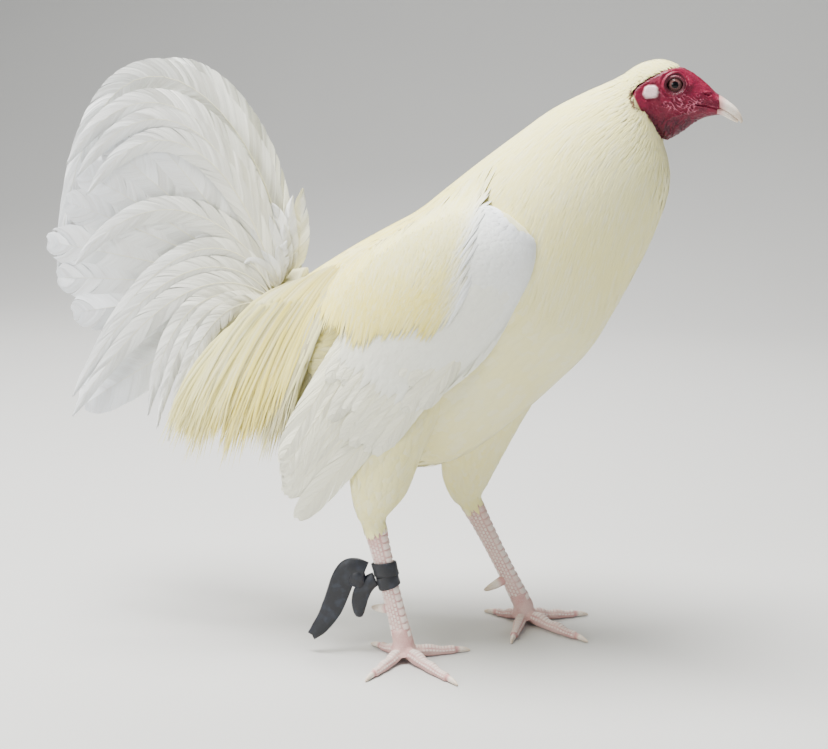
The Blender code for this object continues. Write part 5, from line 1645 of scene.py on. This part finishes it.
CREAM, GOLD, COLD = (0.90, 0.855, 0.38), (0.88, 0.76, 0.17), (0.87, 0.91, 0.97)
# SHADE is painted shade for the feathers' roots, and the dusk colour painted shade for the saddle strands beside the
# wing.
SHADE, PAINTED_SHADE_DUSK = (0.42, 0.38, 0.28), (0.34, 0.29, 0.22)


def plumage_colour(finish):
    """Cream feathers, golden on the back and saddle, cold white on the wing and tail, with painted shade at the roots,
    greyer low on the belly and thighs, and dusky beside the wing.
    """
    gold, tone, share, cool = finish.read("plume")
    # The cool tint carries painted shade on the belly and the thighs.
    colour = blend(cool.held(), CREAM, COLD)
    colour = blend((gold * 1.05).held(), colour, GOLD)
    # Painted shade: dusky where gold is below 0, on the saddle strands beside the wing.
    colour = blend((gold * -1.0).held(), colour, PAINTED_SHADE_DUSK)
    lump = finish.grain(22)
    colour = blend((lump.step(0.35, 0.7) * (0.16 - cool * 0.13)).held(), colour, (0.80, 0.75, 0.50))
    # Painted shade: darker towards each feather's root, with a little random tone.
    colour = blend((share.step(0.5, 0.0) * 0.28 + tone * 0.06).held(), colour, SHADE)
    return blend(tone.step(0.5, 1.0) * (1.0 - cool).held() * 0.3, colour, (0.95, 0.95, 0.84)), tone


def plumage(name, roughness, sheen):
    finish = Finish(name, Roughness=roughness, Sheen_Weight=sheen, Sheen_Roughness=0.4, Specular_IOR_Level=0.25)
    colour, tone = plumage_colour(finish)
    fine = finish.grain(0.9, 1.0)
    return finish.set(Base_Color=colour, Roughness=(roughness + tone * 0.12 + fine * 0.06))


def vane_finish(name):
    """Smooth webs with fine barbs that lean out from the shaft."""
    finish = Finish(name, Roughness=0.5, Sheen_Weight=0.15, Sheen_Roughness=0.4, Specular_IOR_Level=0.3)
    colour, tone = plumage_colour(finish)
    along, across, _, _ = finish.read("detail")

    def drawn(a, b, c, detail):
        place = node(finish.tree, "ShaderNodeCombineXYZ", {}, {0: along * a, 1: across * b, 2: tone * c})
        return finish.clouds(place, 0.9, detail)

    barbs, locks = drawn(100, 1.6, 9, 2.0), drawn(30, 0.7, 3, 1.0)
    finish.relief(barbs + locks * 2.0, 0.4, 0.6)
    # Painted shade: darker, greyer streaks where the barb and lock relief sinks.
    colour = blend(barbs.step(0.55, 0.3) * 0.22, colour, (0.64, 0.60, 0.55))
    colour = blend(locks.step(0.6, 0.3) * 0.2, colour, (0.70, 0.64, 0.60))
    return finish.set(Base_Color=colour, Roughness=0.45 + barbs * 0.2)


def fringe_shade_finish():
    # Near-black red strands: painted shade at the feathers' edge behind the face.
    finish = Finish("painted_shade_fringe", Specular_IOR_Level=0.3)
    _, tone, _, _ = finish.read("plume")
    return finish.set(Base_Color=blend(tone, (0.02, 0.003, 0.006), (0.22, 0.02, 0.05)), Roughness=0.6 + tone * 0.1)


CRIMSON, WINE, ROSE, PALE = (0.12, 0.004, 0.021), (0.04, 0.001, 0.009), (0.55, 0.13, 0.20), (0.80, 0.62, 0.62)


def face_colour(finish):
    """Crimson skin with painted shade in its folds and low on the throat, painted pink highlights on its ridges, and a
    whitish ear lobe.
    """
    bare, folds, lobe, eye = finish.read("detail")
    lump, fine, mottle = finish.grain(6.0, 3.0), finish.grain(0.9, 2.0), finish.grain(2.6, 3.0)
    up = finish.height()
    colour = blend(lump.step(0.3, 0.7) * 0.7, CRIMSON, (0.21, 0.009, 0.035))
    # Painted shade: darker low on the throat, under the head.
    colour = blend(up.step(446, 426) * 0.75, colour, (0.075, 0.002, 0.014))
    # Painted shade in the folds.
    colour = blend(folds.step(0.25, 0.95) * 0.9, colour, WINE)
    # Painted highlights: rose on the ridges of the upper face, and pink on the raised cheek wrinkles.
    ridge = folds.step(0.1, -0.05) * mottle.step(0.5, 0.66) * up.step(436, 448)
    colour = blend(ridge * 0.4, colour, ROSE)
    colour = blend((folds * -1.0).step(0.08, 0.7) * 0.75, colour, (0.62, 0.17, 0.25))
    # Faint rose specks on the tops of the fine bump: partly the skin's own speckle, partly painted highlight.
    colour = blend(fine.step(0.6, 0.75) * 0.2, colour, ROSE)
    colour = blend(eye.step(0.44, 0.385) * 0.8, colour, (0.05, 0.006, 0.012))
    return blend(lobe * fine.step(0.2, 0.7, 0.6, 0.97), colour, PALE), bare, folds, fine


def skin_finish():
    finish = Finish("bird_skin", Specular_IOR_Level=0.26, Subsurface_Weight=0.08, Subsurface_Scale=0.004)
    feathered, _ = plumage_colour(finish)
    red, bare, folds, fine = face_colour(finish)
    up = finish.height()
    bare = bare * up.step(397, 403)
    colour = blend(bare, feathered, red)
    finish.relief(fine * (1.0 - folds).held(), 0.35, 0.6)
    return finish.set(Base_Color=colour, Roughness=bare * -0.30 + 0.75 - fine * 0.1)


def lid_finish():
    finish = Finish("eyelid_skin", Specular_IOR_Level=0.5)
    red, _, folds, fine = face_colour(finish)
    finish.relief(fine, 0.3, 0.5)
    return finish.set(Base_Color=red, Roughness=0.42 + folds * 0.1)


def eye_finish():
    """A pupil, a red-brown iris with fine spokes, and a dark rim."""
    finish = Finish("wet_eye", Coat_Weight=0.1, Coat_Roughness=0.02, Specular_IOR_Level=0.14)
    reach, _, lump, _ = finish.read("plume")
    spokes = finish.grain(0.45, 2.0)
    iris = blend(spokes.step(0.35, 0.65), (0.055, 0.022, 0.022), (0.17, 0.080, 0.074))
    colour = blend(reach.step(0.37, 0.43), (0.002, 0.002, 0.003), iris)
    colour = blend(reach.step(0.70, 0.80), colour, (0.015, 0.004, 0.004))
    return finish.set(Base_Color=colour, Roughness=0.10 + lump * 0.04)


def horn_finish():
    """Ivory horn, pinkish at its root and tan towards its tip."""
    finish = Finish("ivory_horn", Specular_IOR_Level=0.5, Coat_Weight=0.15, Coat_Roughness=0.25)
    share = finish.read("plume")[0]
    values = {0: finish.place(), 1: (0.12, 1.2, 1.2)}
    streak = finish.clouds(node(finish.tree, "ShaderNodeVectorMath", {"operation": "MULTIPLY"}, values), 0.8, 3.0)
    colour = blend(share.step(0.0, 0.5), (0.82, 0.64, 0.60), (0.84, 0.77, 0.68))
    colour = blend(share.step(0.42, 0.17) * 0.8, colour, (0.55, 0.20, 0.21))
    colour = blend(streak.step(0.4, 0.75) * 0.5, colour, (0.58, 0.42, 0.28))
    colour = blend(share.step(0.35, 1.0) * 0.5, colour, (0.50, 0.33, 0.17))
    finish.relief(streak, 0.25, 0.5)
    return finish.set(Base_Color=colour, Roughness=0.32 + streak * 0.2)


def leg_finish(name, between):
    """Pinkish-white scales, redder towards the hock, with red skin between them."""
    finish = Finish(name, Specular_IOR_Level=0.5)
    tone, edge, _, _ = finish.read("plume")
    lump, fine = finish.grain(9.0, 3.0), finish.grain(1.0, 2.0)
    up = finish.height()
    if between:
        colour = blend(lump.step(0.3, 0.7), (0.56, 0.30, 0.28), (0.66, 0.44, 0.40))
    else:
        colour = blend(tone, (0.74, 0.60, 0.55), (0.80, 0.72, 0.66))
        colour = blend(edge.step(0.55, 1.0) * 0.6, colour, (0.62, 0.38, 0.35))
        colour = blend(lump.step(0.45, 0.75) * 0.5, colour, (0.66, 0.40, 0.36))
    colour = blend(up.step(78, 118) * lump.step(0.35, 0.6) * 0.6, colour, (0.58, 0.20, 0.18))
    colour = blend(fine.step(0.45, 0.8) * 0.25, colour, (0.88, 0.80, 0.76))
    finish.relief(fine, 0.25, 0.5)
    return finish.set(Base_Color=colour, Roughness=0.42 + fine * 0.2)


def strap_finish():
    """Black leather with a blue-grey sheen and paler specks, both painted into its colour."""
    finish = Finish("black_leather", Specular_IOR_Level=0.4, Coat_Weight=0.1, Coat_Roughness=0.3)
    fine, lump = finish.grain(0.7, 3.0), finish.grain(7.0, 2.0)
    # Painted sheen: blue-grey lumps, and paler specks on the tops of the fine bump.
    colour = blend(lump.step(0.4, 0.75), (0.006, 0.007, 0.011), (0.016, 0.020, 0.032))
    colour = blend(fine.step(0.6, 0.8) * 0.2, colour, (0.06, 0.07, 0.09))
    finish.relief(fine, 0.3, 0.6)
    return finish.set(Base_Color=colour, Roughness=0.34 + fine * 0.25)


def floor_finish():
    finish = Finish("pale_floor", Specular_IOR_Level=0.2)
    lump = finish.grain(240, 3.0)
    return finish.set(Base_Color=blend(lump, (0.54, 0.54, 0.53), (0.56, 0.56, 0.55)), Roughness=0.75 + lump * 0.1)


# The bird put together

def dress_body():
    soft, smooth = plumage("soft_plumage", 0.62, 0.25), vane_finish("smooth_vane")
    feathered = ("neck", "torso", "rump", "thigh_right", "thigh_left")
    dressed(body_skin(skin_finish()), "red_face", "head", *feathered)
    sheet = outer_sheet()
    dressed(head_feathers(sheet, soft), "cream_plumage")
    dressed(face_fringe(sheet, fringe_shade_finish()), "cream_plumage")
    dressed(back_feathers(sheet, soft), "cream_plumage", "rump")
    dressed(vent_fluff(sheet, soft), "cream_plumage")
    dressed(tail_core(soft), "cream_plumage", "tail")
    for name, side in SIDES:
        dressed(neck_hackles(sheet, soft, name, side), "cream_plumage", "neck")
        dressed(breast_feathers(sheet, soft, name, side), "cream_plumage", "torso")
        dressed(thigh_feathers(soft, name, side), "cream_plumage", f"thigh_{name}")
        for build in (wing_core, wing_coverts, arm_fringe, cape_strands):
            dressed(build(soft, name, side), "cream_plumage", f"wing_{name}")
        dressed(saddle_hackles(soft, name, side), "cream_plumage", "rump")
        dressed(feather_piece(f"wing_vanes_{name}", wing_vanes(side), smooth, 0.6), "white_quills", f"wing_{name}")
        dressed(feather_piece(f"tail_vanes_{name}", tail_vanes(side), smooth, 0.9), "white_quills", "tail")
        dressed(feather_piece(f"tail_coverts_{name}", tail_coverts(side), smooth, 1.2), "cream_plumage", "tail")


def dress_bare_parts():
    eye, lid, horn = eye_finish(), lid_finish(), horn_finish()
    scale, leather = leg_finish("leg_scales", False), strap_finish()
    under = leg_finish("leg_skin", True)
    for name, side in SIDES:
        dressed(eyeball(name, side, eye), "eye", f"eye_{name}")
        dressed(lids(name, side, lid), "red_face")
        dressed(leg_skin(name, side, under), "leg_scale", f"shank_{name}", f"foot_{name}")
        dressed(leg_scales(name, side, scale), "leg_scale", f"shank_{name}", f"foot_{name}")
        dressed(spur(name, side, horn), "horn", f"spur_{name}")
        for toe in TOES[name]:
            dressed(claw(name, side, toe, horn), "horn", f"claw_{name}_{toe[-1]}")
    dressed(bill_half("bill_upper_horn", BILL_UPPER, horn, 0.35, -1), "horn", "bill_upper")
    dressed(bill_half("bill_lower_horn", BILL_LOWER, horn, 0.0, 1), "horn", "bill_lower")
    dressed(strap_band(leather), "black_strap", "strap_band")
    dressed(strap_ends(leather), "black_strap", "strap_tail")


def aimed(obj, target):
    way = Vector(target) - obj.location
    obj.rotation_euler = way.to_track_quat("-Z", "Y").to_euler()
    return obj


def add_light(name, place, size, power, colour):
    data = bpy.data.lights.new(name, "AREA")
    data.shape, data.size, data.energy, data.color = "DISK", size, power, colour
    obj = bpy.data.objects.new(name, data)
    obj.location = place
    bpy.context.scene.collection.objects.link(obj)
    aimed(obj, LIGHT_TARGET)


FLOOR_FRONT, FLOOR_BACK, FLOOR_HALF, BEND, WALL = -4000.0, 1500.0, 7000.0, 1800.0, 3500.0
CAMERA_PLACE, CAMERA_TARGET = (293.4, -1243.8, 496.3), (29.0, 0.0, 226.0)
CAMERA_LENS = 68.93
LIGHT_TARGET = (0.0, 0.0, 0.25)
# Each light's name, place, width, power and colour, in metres and watts.
LIGHTS = (
    ("skylight", (-0.35, -0.15, 2.1), 1.1, 150, (1.0, 0.99, 0.96)),
    ("window", (-1.2, -1.5, 0.9), 0.9, 24, (1.0, 0.99, 0.96)),
    ("front_window", (1.6, -0.9, 0.8), 1.2, 6, (0.95, 0.97, 1.0)),
    ("back_glow", (-0.4, 1.3, 1.4), 1.2, 22, (1.0, 0.98, 0.95)),
)
ROOM_COLOUR, ROOM_STRENGTH = (0.90, 0.93, 0.97, 1.0), 0.32


def sweep(finish):
    """The floor, which bends up smoothly into a pale wall behind the bird."""
    turn = np.linspace(0, math.pi / 2, 40)
    y = np.concatenate([[FLOOR_FRONT], FLOOR_BACK + BEND * np.sin(turn), [FLOOR_BACK + BEND]])
    z = np.concatenate([[0.0], BEND * (1 - np.cos(turn)), [WALL]])
    rows = np.arange(len(y))
    points = np.stack([np.tile((-FLOOR_HALF, FLOOR_HALF), len(y)), np.repeat(y, 2), np.repeat(z, 2)], axis=1)
    faces = np.stack([2 * rows[:-1], 2 * rows[:-1] + 1, 2 * rows[1:] + 1, 2 * rows[1:]], axis=1)
    return mesh_object("studio_floor", points, faces, finish)


def studio():
    """The photograph's camera, a pale floor and soft light from a window's side and above."""
    data = bpy.data.cameras.new("photo_camera")
    data.lens, data.sensor_width = CAMERA_LENS, 36.0
    camera = bpy.data.objects.new("photo_camera", data)
    camera.location = (CAMERA_PLACE + SHIFT) * MM
    bpy.context.scene.collection.objects.link(camera)
    bpy.context.scene.camera = aimed(camera, (CAMERA_TARGET + SHIFT) * MM)
    for light in LIGHTS:
        add_light(*light)
    world = bpy.data.worlds.new("room")
    world.use_nodes = True
    sky = world.node_tree.nodes["Background"].inputs
    sky["Color"].default_value, sky["Strength"].default_value = ROOM_COLOUR, ROOM_STRENGTH
    bpy.context.scene.world = world
    sweep(floor_finish())


dress_body()
dress_bare_parts()
studio()
